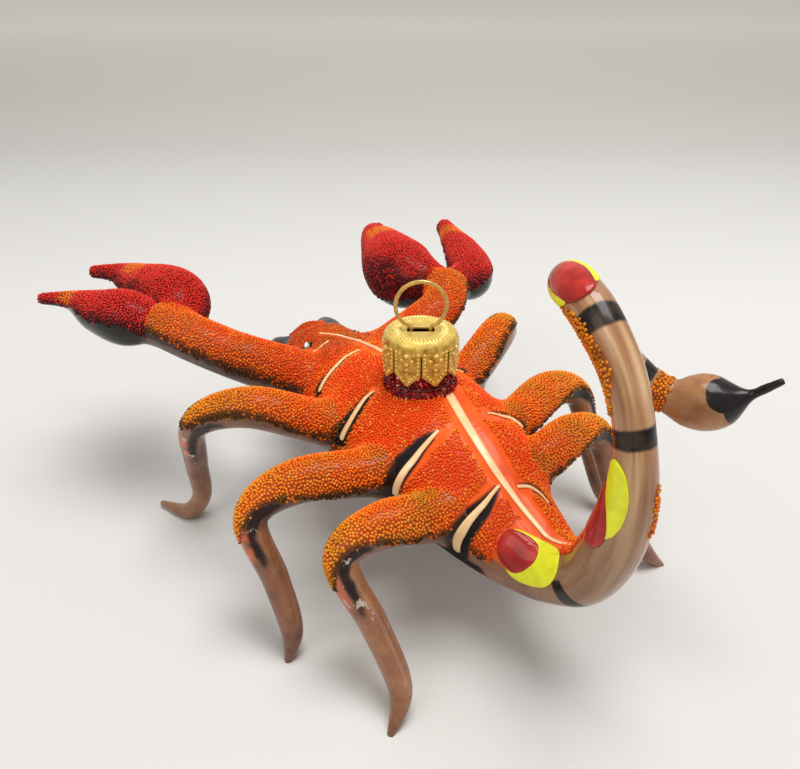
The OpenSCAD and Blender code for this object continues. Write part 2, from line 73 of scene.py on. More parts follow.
def placeCamera():
    turn, lift = math.radians(view["azimuth"]), math.radians(view["elevation"])
    back = Vector((math.sin(turn) * math.cos(lift), -math.cos(turn) * math.cos(lift), math.sin(lift)))
    aim = Vector(view["aim"])
    data = bpy.data.cameras.new("camera")
    data.lens, data.sensor_width, data.clip_start = view["lens"], view["sensor"], view["near"]
    scene.camera = aimed("camera", data, toFrame @ (aim + back * view["distance"]), toFrame @ aim)


# Shader helpers: colours are given as levels from 0 to 255, as a picture holds them

def paint(red, green, blue):
    levels = [level / 255 for level in (red, green, blue)]
    return [level / 12.92 if level < 0.04045 else ((level + 0.055) / 1.055) ** 2.4 for level in levels] + [1]


def addNode(tree, kind, settings, sockets):
    made = tree.nodes.new(kind)
    for setting, value in settings.items():
        if setting == "stops":
            while len(made.color_ramp.elements) < len(value):
                made.color_ramp.elements.new(1)
            for element, (place, colour) in zip(made.color_ramp.elements, value):
                element.position, element.color = place, colour
        else:
            setattr(made, setting, value)
    for socket, value in sockets.items():
        value = value.socket if isinstance(value, Tone) else value
        if isinstance(value, bpy.types.NodeSocket):
            tree.links.new(value, made.inputs[socket])
        else:
            made.inputs[socket].default_value = value
    return made


class Tone:
    def __init__(self, finish, socket):
        self.finish, self.socket = finish, socket

    def maths(self, operation, other=0.0, flip=False):
        first, second = (other, self) if flip else (self, other)
        return self.finish.node("Math", {"operation": operation}, {0: first, 1: second})

    def __add__(self, other):
        return self.maths("ADD", other)

    def __sub__(self, other):
        return self.maths("SUBTRACT", other)

    def __rsub__(self, other):
        return self.maths("SUBTRACT", other, True)

    def __mul__(self, other):
        return self.maths("MULTIPLY", other)

    def __truediv__(self, other):
        return self.maths("DIVIDE", other)

    __radd__, __rmul__ = __add__, __mul__

    def most(self, other):
        return self.maths("MAXIMUM", other)

    def least(self, other):
        return self.maths("MINIMUM", other)


class Finish:
    def __init__(self, name, **fixed):
        self.material = bpy.data.materials.new(name)
        self.material.use_nodes = True
        self.tree = self.material.node_tree
        self.shader = self.tree.nodes["Principled BSDF"]
        for socket, value in fixed.items():
            self.shader.inputs[socket.replace("_", " ")].default_value = value

    def node(self, kind, settings, sockets, output=0):
        return Tone(self, addNode(self.tree, "ShaderNode" + kind, settings, sockets).outputs[output])

    def feed(self, socket, tone):
        self.tree.links.new(tone.socket, self.shader.inputs[socket])

    def where(self):
        return self.node("TexCoord", {}, {}, "Object")

    def seen(self):
        rays = addNode(self.tree, "ShaderNodeLightPath", {}, {}).outputs
        camera, glossy, through = [Tone(self, rays[f"Is {kind} Ray"]) for kind in ("Camera", "Glossy", "Transmission")]
        return camera.most(glossy).most(through)

    def mark(self, name):
        return self.node("Attribute", {"attribute_name": name}, {}, "Fac")

    def marks(self, *names):
        return [self.mark(name) for name in names]

    def cloud(self, scale, detail=3, roughness=0.55, vector=None):
        sockets = {"Vector": vector or self.where(), "Scale": scale, "Detail": detail, "Roughness": roughness}
        return self.node("TexNoise", {}, sockets, 0)

    def stretched(self, scale):
        return self.node("Mapping", {}, {"Vector": self.where(), "Scale": scale})

    def ramp(self, value, low, high):
        return self.node("MapRange", {"interpolation_type": "SMOOTHSTEP"}, {0: value, 1: low, 2: high})

    def within(self, value, low, high, soft):
        return self.ramp(value, low - soft, low + soft) * (1 - self.ramp(value, high - soft, high + soft))

    def blend(self, factor, first, second):
        first, second = [paint(*tone) if isinstance(tone, tuple) else tone for tone in (first, second)]
        return self.node("Mix", {"data_type": "RGBA"}, {0: factor, 6: first, 7: second}, 2)

    def stops(self, value, *stops):
        return self.node("ValToRGB", {"stops": [(place, paint(*tone)) for place, tone in stops]}, {0: value})

    def bump(self, height, distance, strength=1.0):
        self.feed("Normal", self.node("Bump", {}, {"Strength": strength, "Distance": distance, "Height": height}))

    def rough(self, base, scale, detail, share):
        self.feed("Roughness", base + self.cloud(scale, detail) * share)


class Room(Finish):
    def __init__(self, tree):
        self.tree, self.shader = tree, tree.nodes["Background"]


def mottled(name, grain, tones, rough=None, relief=None, **fixed):
    finish = Finish(name, **fixed)
    finish.feed("Base Color", finish.stops(finish.cloud(*grain), *tones))
    if rough:
        finish.rough(*rough)
    if relief:
        scale, detail, height, strength = relief
        finish.bump(finish.cloud(scale, detail), height, strength)
    return finish


# Mesh helpers

def meshOf(bm, name):
    mesh = bpy.data.meshes.new(name)
    bm.to_mesh(mesh)
    bm.free()
    return mesh


def keep(bm, name, matrix=toFrame):
    bmesh.ops.transform(bm, matrix=matrix, verts=bm.verts)
    for face in bm.faces:
        face.smooth = True
    return link(name, meshOf(bm, name))


def dress(piece, finish, body, replaces=()):
    piece.data.materials.clear()
    piece.data.materials.append(finish.material)
    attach(piece, body)
    if replaces:
        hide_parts(*replaces)
    return piece


def baked(piece):
    graph = bpy.context.evaluated_depsgraph_get()
    return bpy.data.meshes.new_from_object(piece.evaluated_get(graph))


def drop(piece):
    mesh = piece.data
    bpy.data.objects.remove(piece)
    bpy.data.meshes.remove(mesh)


def curveAt(a, b, c, d, t):
    return (2 * b + (c - a) * t + (2 * a - 5 * b + 4 * c - d) * t * t + (3 * b - a - 3 * c + d) * t ** 3) / 2


def roughly(points, scale, seed=0.0):
    return np.array([noise.noise((x * scale + seed, y * scale - seed, z * scale)) for x, y, z in points])


# The glass figure: each limb is a row of [x, y, z, up radius, across radius]

body = {"length": 81, "neckBehindBrow": 42, "width": 32, "height": 25, "belly": 12,
        "stations": [(-.055, .25, .745, .46), (0, .5, .78, .28), (.14, .74, .83, .12), (.35, .95, .97, .04),
                     (.52, 1, 1, 0), (.67, .9, .92, -.03), (.81, .66, .74, -.08), (.92, .49, .61, -.03)]}
tail = {"rise": 46, "rootUp": 7.8,
        "stations": [(0, 0, 0, 6), (0, .14, .08, 4.69), (0, .226, .265, 4.41), (0, .264, .48, 3.54),
                     (0, .238, .68, 2.87), (-.005, .156, .86, 2.9), (-.025, .005, .985, 3.22),
                     (-.1, -.17, 1, 3.22), (-.25, -.24, .88, 2.9), (-.352, -.185, .705, 2.9),
                     (-.437, -.07, .575, 2.9), (-.475, -.01, .55, 2.9),
                     (-.505, .045, .547, 4.14), (-.535, .1, .558, 4.6), (-.562, .155, .582, 3.77),
                     (-.592, .212, .622, 1.02), (-.612, .252, .662, .72), (-.63, .288, .7, .54)]}
# A right leg is the mirror image of the left one, with its thigh shifted and its foot stepped aside
legs = {"front": {"hip": (-1, -9, 15), "arch": (13, -14, 21), "knee": (21, -22, 16), "girth": 1,
                  "shin": [(20.5, -27.5, 16, 2.4), (20, -29, 6, 2), (23, -31, 1.6, 1.72), (26.5, -37.5, .9, .6)],
                  "shift": (.9, 1, -.5), "step": (.9, 1, 0)},
        "middle": {"hip": (-1, 8, 14), "arch": (12.5, 3, 14.2), "knee": (21.3, 3.2, 10.5), "girth": 1.02,
                   "shin": [(20.6, 9.5, 13, 2.4), (20.5, 14.3, 5, 2), (22.5, 16, -.3, .6)],
                   "shift": (.9, 1.8, .6), "step": (.9, 1.8, 0)},
        "rear": {"hip": (-5, 22, 11.5), "arch": (5.5, 20.5, 13.5), "knee": (13.4, 20.5, 10.2), "girth": 1,
                 "shin": [(11.6, 27.5, 12.3, 2.4), (11.5, 34.8, 4.8, 2), (15.5, 38, -.3, .6)],
                 "shift": (0, -.8, 1.5), "step": (3.3, -2.3, 0)}}
arms = {"shoulder": (11, -27, 28),
        "left": {"elbow": (13, -5, 6.6), "wrist": (23, -16, 11.4),
                 "outer": [(5.3, -6.4, .6, 5.7), (9.6, -13.3, .6, 4.6), (13.4, -21.6, 1.1, 2), (18.7, -24.9, 1.6, 1.1)],
                 "inner": [(-5.4, -8.9, .6, 7.1), (-2.5, -24, .6, 4.5), (.6, -31.8, 1.1, 2.2), (5.2, -34.5, 1.6, 1.3)]},
        "right": {"elbow": (14, -1, 6), "wrist": (20, -6.5, 9),
                  "outer": [(9, -2.5, -1, 5.4), (14.8, -13.1, 0, 4.7), (18.4, -22.9, 1.5, 2.8), (20.4, -29, 2.5, 1.9)],
                  "inner": [(-3.6, -12.8, -1, 8.3), (.6, -29.2, 0, 5.7), (2.3, -36.7, 1.5, 2.9),
                            (4.9, -37.6, 2.5, 1.4)]}}
jaws = {"length": 5, "out": .34, "rise": .55, "radius": 3.4, "leftDrop": 2}
brow = -body["neckBehindBrow"]
half = body["width"] / 2
rootY = brow + body["length"]
rootZ = body["belly"] + tail["rootUp"]
tailStart, bulbStart, spikeStart = 8, 19, 22


def spineRows():
    rows = []
    for share, wide, top, bottom in body["stations"]:
        rows.append((0, brow + share * body["length"], body["belly"] + body["height"] * (top + bottom) / 2,
                     body["height"] * (top - bottom) / 2, half * wide))
    for x, y, z, radius in tail["stations"]:
        rows.append((x * tail["rise"], rootY + y * tail["rise"], rootZ + z * tail["rise"], radius, radius))
    return rows


def legRows(side, leg):
    shift, step = (leg["shift"], leg["step"]) if side < 0 else ((0, 0, 0), (0, 0, 0))

    def row(point, up, radius, move):
        return (side * (half + point[0] + move[0]), point[1] + move[1], up + point[2] + move[2], radius, radius)
    girth, hip = leg["girth"], leg["hip"]
    root = (hip[0] - half / 2, hip[1], hip[2] - 2)
    thigh = [(root, 4.6), (hip, 4.2), (leg["arch"], 3.8), (leg["knee"], 2.8)]
    return ([row(point, body["belly"], radius * girth, shift) for point, radius in thigh]
            + [row(point, 0, point[3], step) for point in leg["shin"]])


def armRows(side, arm):
    shoulder = Vector(arms["shoulder"])
    elbow, wrist = shoulder + Vector(arm["elbow"]), shoulder + Vector(arm["wrist"])
    points = [(shoulder - Vector((7, -3, 2)), 5.4), (shoulder, 5.4), (elbow, 4.8), (wrist, 4.4),
              (wrist + .25 * (wrist - elbow), 1.76)]
    return [(side * point.x, point.y, point.z, radius, radius) for point, radius in points]


def fingerRows(side, arm, lobe):
    wrist = Vector(arms["shoulder"]) + Vector(arm["wrist"])
    points = [(wrist, 2.64)] + [(wrist + Vector(point[:3]), point[3]) for point in arm[lobe]]
    return [(side * point.x, point.y, point.z, radius, radius) for point, radius in points]


def jawRows(side):
    out, snout = half * jaws["out"], brow + body["stations"][0][0] * body["length"]
    up = body["belly"] + body["height"] * jaws["rise"] - (jaws["leftDrop"] if side > 0 else 0)
    radius, reach = jaws["radius"], jaws["length"]
    points = [(.6, 6, -1, .9), (1, 2, 0, 1), (1.15, -.6 * reach, 0, .85), (1.2, -reach, -.7, .4)]
    return [(side * out * share, snout + y, up + z, radius * girth, radius * girth) for share, y, z, girth in points]


class Limb:
    steps = 12

    def __init__(self, rows, turn, side=1):
        rows = np.array(rows, float)
        last, ring = len(rows) - 1, []
        for i in range(last):
            a, b, c, d = rows[max(i - 1, 0)], rows[i], rows[i + 1], rows[min(i + 2, last)]
            for t in np.arange(self.steps) / self.steps:
                ring.append(curveAt(a, b, c, d, t))
        ring = np.array(ring + [rows[last]])
        self.side, self.centre, self.radii = side, ring[:, :3], ring[:, 3:]
        ahead = np.gradient(self.centre, axis=0)
        self.ahead = ahead / np.linalg.norm(ahead, axis=1)[:, None]
        up = np.cross(turn, self.ahead)
        self.up = up / np.linalg.norm(up, axis=1)[:, None]
        self.across = np.cross(self.ahead, self.up)

    def at(self, values, along):
        place = np.clip(np.asarray(along) * self.steps, 0, len(values) - 1.001)
        low = place.astype(int)
        share = (place - low)[..., None]
        return values[low] * (1 - share) + values[low + 1] * share

    def skin(self, along, angle):
        angle = np.radians(np.asarray(angle)) * self.side
        up, across, radii = self.at(self.up, along), self.at(self.across, along), self.at(self.radii, along)
        cosine, sine = np.cos(angle)[..., None], np.sin(angle)[..., None]
        point = self.at(self.centre, along) + up * cosine * radii[..., :1] + across * sine * radii[..., 1:]
        out = up * cosine / radii[..., :1] + across * sine / radii[..., 1:]
        return point, out / np.linalg.norm(out, axis=-1)[..., None]

    def measure(self, points):
        square = (self.centre ** 2).sum(1)
        nearest = np.concatenate([np.argmin(square - 2 * chunk @ self.centre.T, axis=1)
                                  for chunk in np.array_split(points, max(1, len(points) // 20000))])
        step = ((points - self.centre[nearest]) * self.ahead[nearest]).sum(1)
        low = np.clip(np.where(step < 0, nearest - 1, nearest), 0, len(self.centre) - 2)
        run = self.centre[low + 1] - self.centre[low]
        share = np.clip(((points - self.centre[low]) * run).sum(1) / (run ** 2).sum(1), 0, 1)
        along = (low + share) / self.steps
        mixed = [values[low] * (1 - share[:, None]) + values[low + 1] * share[:, None]
                 for values in (self.centre, self.ahead, self.up, self.across, self.radii)]
        centre, ahead, up, across, radii = mixed
        away = points - centre
        highs, sides, fronts = [(away * axis).sum(1) for axis in (up, across, ahead)]
        tall, wide = radii.T
        least = .5 * np.minimum(tall, wide)
        swell = np.sqrt((highs / tall) ** 2 + (sides / wide) ** 2 + (fronts / least) ** 2) + 1e-9
        slope = (up * (highs / tall ** 2)[:, None] + across * (sides / wide ** 2)[:, None]
                 + ahead * (fronts / least ** 2)[:, None]) / swell[:, None]
        steep = np.linalg.norm(slope, axis=1) + 1e-9
        angle = np.degrees(np.arctan2(sides / wide, highs / tall)) * self.side
        return (swell - 1) / steep, slope / steep[:, None], along, angle


limbs = {"spine": Limb(spineRows(), (1, 0, 0))}
for sideName, side in (("left", 1), ("right", -1)):
    for legName, leg in legs.items():
        limbs[f"{sideName}_{legName}_leg"] = Limb(legRows(side, leg), (0, -side, 0), side)
    arm = arms[sideName]
    limbs[f"{sideName}_arm"] = Limb(armRows(side, arm), (0, -side, 0), side)
    for lobe in ("outer", "inner"):
        limbs[f"{sideName}_{lobe}_finger"] = Limb(fingerRows(side, arm, lobe), (-.7, -.7 * side, 0), side)
    limbs[f"{sideName}_jaw"] = Limb(jawRows(side), (-.7, -.7 * side, 0), side)
limbNames = list(limbs)

fusing = {"voxel": .36, "ringSides": 24, "legFillet": 3.6, "clawFillet": 1.6, "tipFillet": 3.0,
          "rounds": 4, "stride": 1.2}


def ringOf(bm, sides, radius, matrix):
    made = bmesh.ops.create_circle(bm, segments=sides, radius=radius, matrix=matrix)
    return list(dict.fromkeys(edge for vertex in made["verts"] for edge in vertex.link_edges))


def sweptMesh(limb):
    bm = bmesh.new()
    rings = []
    for i in range(0, len(limb.centre), 2):
        tall, wide = limb.radii[i]
        place = Matrix.Identity(4)
        for row in range(3):
            place[row][0], place[row][1] = limb.up[i][row] * tall, limb.across[i][row] * wide
            place[row][2], place[row][3] = limb.ahead[i][row], limb.centre[i][row]
        dome = [(0, 1)]
        if i == 0 or i == len(limb.centre) - 1:
            dome = [(0, 1), (.3, .8), (.45, .4)][::-1 if i == 0 else 1]
        for shift, girth in dome:
            ahead = Vector(limb.ahead[i]) * (-1 if i == 0 else 1) * min(tall, wide) * shift
            rings.append(ringOf(bm, fusing["ringSides"], girth, Matrix.Translation(ahead) @ place))
    for first, second in zip(rings, rings[1:]):
        bmesh.ops.bridge_loops(bm, edges=first + second)
    bmesh.ops.holes_fill(bm, edges=rings[0] + rings[-1])
    bmesh.ops.recalc_face_normals(bm, faces=bm.faces)
    return meshOf(bm, "limb")


def field(points):
    count = len(points)
    first, second = np.full(count, 1e6), np.full(count, 1e6)
    owner, rival = np.zeros(count, int), np.zeros(count, int)
    slopes, slopes2 = np.zeros((count, 3)), np.zeros((count, 3))
    along, angle = np.zeros(count), np.zeros(count)
    for index, name in enumerate(limbNames):
        gap, slope, place, turn = limbs[name].measure(points)
        nearer = gap < first
        runnerUp = ~nearer & (gap < second)
        second = np.where(nearer, first, np.where(runnerUp, gap, second))
        rival = np.where(nearer, owner, np.where(runnerUp, index, rival))
        slopes2 = np.where(nearer[:, None], slopes, np.where(runnerUp[:, None], slope, slopes2))
        first, owner = np.where(nearer, gap, first), np.where(nearer, index, owner)
        slopes = np.where(nearer[:, None], slope, slopes)
        along, angle = np.where(nearer, place, along), np.where(nearer, turn, angle)
    isFinger = np.array(["finger" in name or "jaw" in name for name in limbNames])
    fillet = np.where(isFinger[owner] & isFinger[rival], fusing["clawFillet"],
                      np.where(isFinger[owner] | isFinger[rival], fusing["tipFillet"], fusing["legFillet"]))
    mix = np.clip(0.5 + 0.5 * (second - first) / fillet, 0, 1)
    value = second * (1 - mix) + first * mix - fillet * mix * (1 - mix)
    slope = slopes * mix[:, None] + slopes2 * (1 - mix)[:, None]
    return value, slope / (np.linalg.norm(slope, axis=1)[:, None] + 1e-9), owner, along, angle


def fusedGlass():
    bm = bmesh.new()
    for limb in limbs.values():
        mesh = sweptMesh(limb)
        bm.from_mesh(mesh)
        bpy.data.meshes.remove(mesh)
    rough = keep(bm, "roughGlass", matrix=Matrix())
    remesh = rough.modifiers.new("union", "REMESH")
    remesh.mode, remesh.voxel_size, remesh.adaptivity = "VOXEL", fusing["voxel"], 0
    mesh = baked(rough)
    drop(rough)
    points = np.empty(len(mesh.vertices) * 3)
    mesh.vertices.foreach_get("co", points)
    points = points.reshape(-1, 3)
    for i in range(fusing["rounds"]):
        value, slope = field(points)[:2]
        points = points - slope * np.clip(value, -fusing["stride"], fusing["stride"])[:, None]
    return mesh, points, field(points)[1:]


# Painted lines on the body, each a route of (station, angle) on the spine with its widths in mm
# "clear" is the bare paint beside the line and the other widths the black beside it, black lacquer with painted shade
# in its crease, both first on the side of the brow (or the left side for the two lines of the middle), then on the
# other side

stripes = {
    "leftFirst": {"route": [(2.69, 7), (2.68, 20), (2.73, 35), (2.75, 48), (2.79, 62)], "width": (.2, .6, .9, 1.0, .9),
                  "clear": ((.5, .3, .2, .2), (.7, .8, 1.0, .8)), "ink": ((0, 0, .1, .9), (0, .4, .8, .9))},
    "leftSecond": {"route": [(3.71, 31), (3.69, 38), (3.72, 49), (3.75, 63), (3.74, 79)],
                   "width": (.3, .7, .95, 1.0, .95),
                   "clear": ((1.0, .3, .2, .2), (1.1, 1.0, 1.1, .9)), "ink": ((0, .1, .7, 1.6), (0, .6, 1.1, 1.0))},
    "leftThird": {"route": [(4.91, 21), (4.95, 31), (5.0, 49), (5.01, 62), (5.07, 85)],
                  "width": (.3, .7, 1.1, 1.15, 1.0),
                  "clear": ((.4, 1.5, 1.9, 1.2), (2.4, 1.9, 1.3, .6)), "ink": ((0, 1.3, 1.8, 1.5), (0, .1, .4, .5))},
    "leftFourth": {"route": [(6.13, 12), (6.23, 35), (6.24, 55), (6.27, 73), (6.19, 105)],
                   "width": (.2, .8, 1.1, 1.2, 1.1),
                   "clear": ((1.6, 1.6, 1.2, .9), (1.2, 1.9, 2.0, 1.8)), "ink": ((0, .5, .9, 1.0), (0, 1.4, 1.9, 1.9))},
    "leftBrow": {"route": [(1.9, 13), (1.97, 24), (2.2, 36)], "width": (.2, .4, .25),
                 "clear": ((.2, .2), (.5, .3))},
    "rightFirst": {"route": [(2.75, -27), (2.77, -46), (2.79, -62)], "width": (.3, .9, .9),
                   "clear": ((.4, .2, .2), (.7, 1.0, .8)), "ink": ((0, .1, .8), (0, .6, .8))},
    "rightSecond": {"route": [(3.36, -40), (3.4, -56), (3.46, -61), (3.52, -64)], "width": (.3, .45, .4, .1),
                    "clear": ((.6, .4, .3), (.9, .6, .4)), "ink": ((0, .3, .5), (0, .2, .3))},
    "rightThird": {"route": [(4.91, -25), (4.91, -38), (4.92, -53), (5.06, -65)], "width": (.2, .6, .8, .6),
                   "clear": ((1.6, .5, .3, .3), (2.2, 1.2, .4, .3)), "ink": ((0, .3, .4, .5), (0, 0, .1, .2))},
    "rightFourth": {"route": [(6.32, -4), (6.38, -20), (6.55, -33), (6.78, -39)], "width": (.3, .6, .7, .4),
                    "clear": ((1.2, .7, .6, .5), (1.8, 2.0, 1.2, .6)), "ink": ((0, .3, .5, .5), (0, 0, .2, .2))},
    "middleRear": {"route": [(4.3, -9), (5.12, 2), (5.69, 5), (6.22, 6), (6.73, 7), (7.53, 7), (8.28, 5), (8.69, -8)],
                   "width": (1.8, 1.6, 1.3, 1.05, .85, .7, .5, .25),
                   "clear": ((1.3, 1.8, 1.5, 1.4, .4, .3), (2.6, 3.1, 2.7, 2.4, 1.9, 1.2))},
    "middleFront": {"route": [(1.38, 10), (1.8, -7), (2.32, -9), (2.66, -7), (2.95, -5)],
                    "width": (.15, .5, .8, .95, 1.1),
                    "clear": ((.5, .9, 1.6, 1.8), (.3, .4, .5, .5))}}
bareLine = ((0, 0), (0, 0))
track = {"points": 60, "merge": 1.2, "creaseWide": 1.7, "creaseDepth": .6, "chunks": 30}
spine = limbs["spine"]


def soft(value, low, high):
    share = np.clip((value - low) / (high - low), 0, 1)
    return share * share * (3 - 2 * share)


def spread(values, count):
    return np.interp(np.linspace(0, 1, count), np.linspace(0, 1, len(values)), values)


def eased(values, count):
    window = np.hanning(count // 8 * 2 + 3)
    padded = np.pad(spread(values, count), len(window) // 2, mode="reflect", reflect_type="odd")
    return np.convolve(padded, window / window.sum(), "valid")


def routeOf(stripe, count):
    station, turn = np.array(stripe["route"]).T
    return eased(station, count), eased(turn, count), spread(stripe["width"], count)


def laid(place, out, lift):
    spot, direction = Vector(place), Vector(out)
    hit, normal, index, away = skin.ray_cast(spot + direction * 4, -direction)
    return (hit if hit and away < 8 else spot) + direction * lift


def nearStripes(points):
    gap, margin, ink, depth = [np.full(len(points), value) for value in (99.0, 99.0, 0.0, 0.0)]
    for stripe, places, beyond, width in tracks:
        square = ((points[:, None] - places[None]) ** 2).sum(2)
        nearest = square.argmin(1)
        away = np.sqrt(square[np.arange(len(points)), nearest])
        edge = away - width[nearest] / 2
        side = (((points - places[nearest]) * beyond[nearest]).sum(1) > 0).astype(int)
        clear, reach = [np.array([spread(values, track["points"]) for values in both])[side, nearest]
                        for both in (stripe["clear"], stripe.get("ink", bareLine))]
        gap = np.minimum(gap, edge)
        share = np.clip(.5 + .5 * (edge - clear - margin) / track["merge"], 0, 1)
        margin = (edge - clear) * (1 - share) + margin * share - track["merge"] * share * (1 - share)
        ink = np.maximum(ink, soft(reach - edge, -.8, .45) * (reach > .05))
        depth = np.maximum(depth, np.minimum(1, .4 + width[nearest] / 2) * np.exp(-(away / track["creaseWide"]) ** 2))
    return gap, margin, ink, depth


placeCamera()
glass, points, (slope, owner, along, angle) = fusedGlass()
corners = np.empty(len(glass.polygons) * 4, np.int32)
glass.polygons.foreach_get("vertices", corners)
faces = corners.reshape(-1, 4)
skin = BVHTree.FromPolygons(points.tolist(), faces.tolist())
tracks = []
for stripe in stripes.values():
    station, turn, width = routeOf(stripe, track["points"])
    ideal, outs = spine.skin(station, turn)
    places = np.array([laid(place, out, 0) for place, out in zip(ideal, outs)])
    beyond = np.cross(outs, np.gradient(places, axis=0)) * (-1 if turn.mean() < -8 else 1)
    tracks.append((stripe, places, beyond, width))
print("fused glass", len(points), "vertices")
onSpine = owner == limbNames.index("spine")
spineGap, _, spineAlong, spineAngle = spine.measure(points)
nearBody = (spineGap < 5) & (spineAlong < tailStart + 1.3)
stripeGap, stripeMargin, ink, crease = [np.full(len(points), value) for value in (99.0, 99.0, 0.0, 0.0)]
found = [nearStripes(chunk) for chunk in np.array_split(points[nearBody], track["chunks"])]
for store, parts in zip((stripeGap, stripeMargin, ink, crease), zip(*found)):
    store[nearBody] = np.concatenate(parts)
points = points - slope * (crease * track["creaseDepth"])[:, None]
points[:, 2] = np.maximum(points[:, 2], 0)
glass.vertices.foreach_set("co", points.ravel())
glass.update()
skin = BVHTree.FromPolygons(points.tolist(), faces.tolist())


# Where the beads lie: cover is their density, tint runs from red to yellow, and the dark mark is painted shade
# at the lower edges, claw sides and head, with darker tone at random; ink is black lacquer and painted shade, warm the
# orange ground of the body

eye = {"station": 1.667, "turn": 36, "slant": 35, "Eye": ((1.2, .9, .55), .15), "EyeDab": ((.85, .45, .4), .6)}
coats = {
    "legEdge": [(0, 96), (1, 100), (1.4, 112), (1.75, 120), (2.1, 100), (2.5, 76), (2.9, 58), (3.2, 42), (3.4, 0),
                (8, 0)],
    "legTint": [(0, .25), (1, .5), (2, .68), (2.6, .92), (3.4, 1)],
    "legInk": [(0, 100), (1, 106), (1.75, 124), (2.1, 100), (2.5, 74), (2.9, 52), (3.3, 46), (3.8, 62)],
    "legInkWide": [(0, 16), (1.75, 18), (2.4, 26), (2.9, 46), (3.4, 38), (3.8, 14)],
    "armEdge": [(0, 116), (2, 114), (2.8, 112), (3.2, 110), (4, 106)],
    "armTint": [(0, .3), (1, .25), (2, .35), (3, .5), (4, .5)],
    "outerEdge": [(0, 150), (.3, 118), (.8, 80), (1.6, 76), (2.4, 84), (3, 100), (3.8, 116), (4, 116)],
    "innerEdge": [(0, 150), (.4, 130), (2, 124), (3.5, 126), (4, 126)],
    "streaks": {"outer": 3.0, "inner": 2.1}, "warmEdge": [(0, 101), (6, 101), (6.6, 90), (7, 84), (9, 60)],
    "bodyEdge": [(0, 97), (6, 97), (6.5, 88), (9, 86)], "bodyEnd": (6.95, 8.95), "baseEnd": 10.15, "baseEdge": 32,
    "foot": (5.75, 6.75, 106, 126), "bareSide": 24,
    "crook": [(12.3, 0), (12.45, 62), (13, 108), (13.9, 100), (14.4, 60), (14.6, 0)],
    "outer": (10.5, 11.45, -176, -146), "collar": (17.9, 19.32)}


def valueAt(stops, value):
    return np.interp(value, *np.array(stops).T)


def between(value, low, high, edge):
    return soft(value, low - edge, low + edge) * (1 - soft(value, high - edge, high + edge))


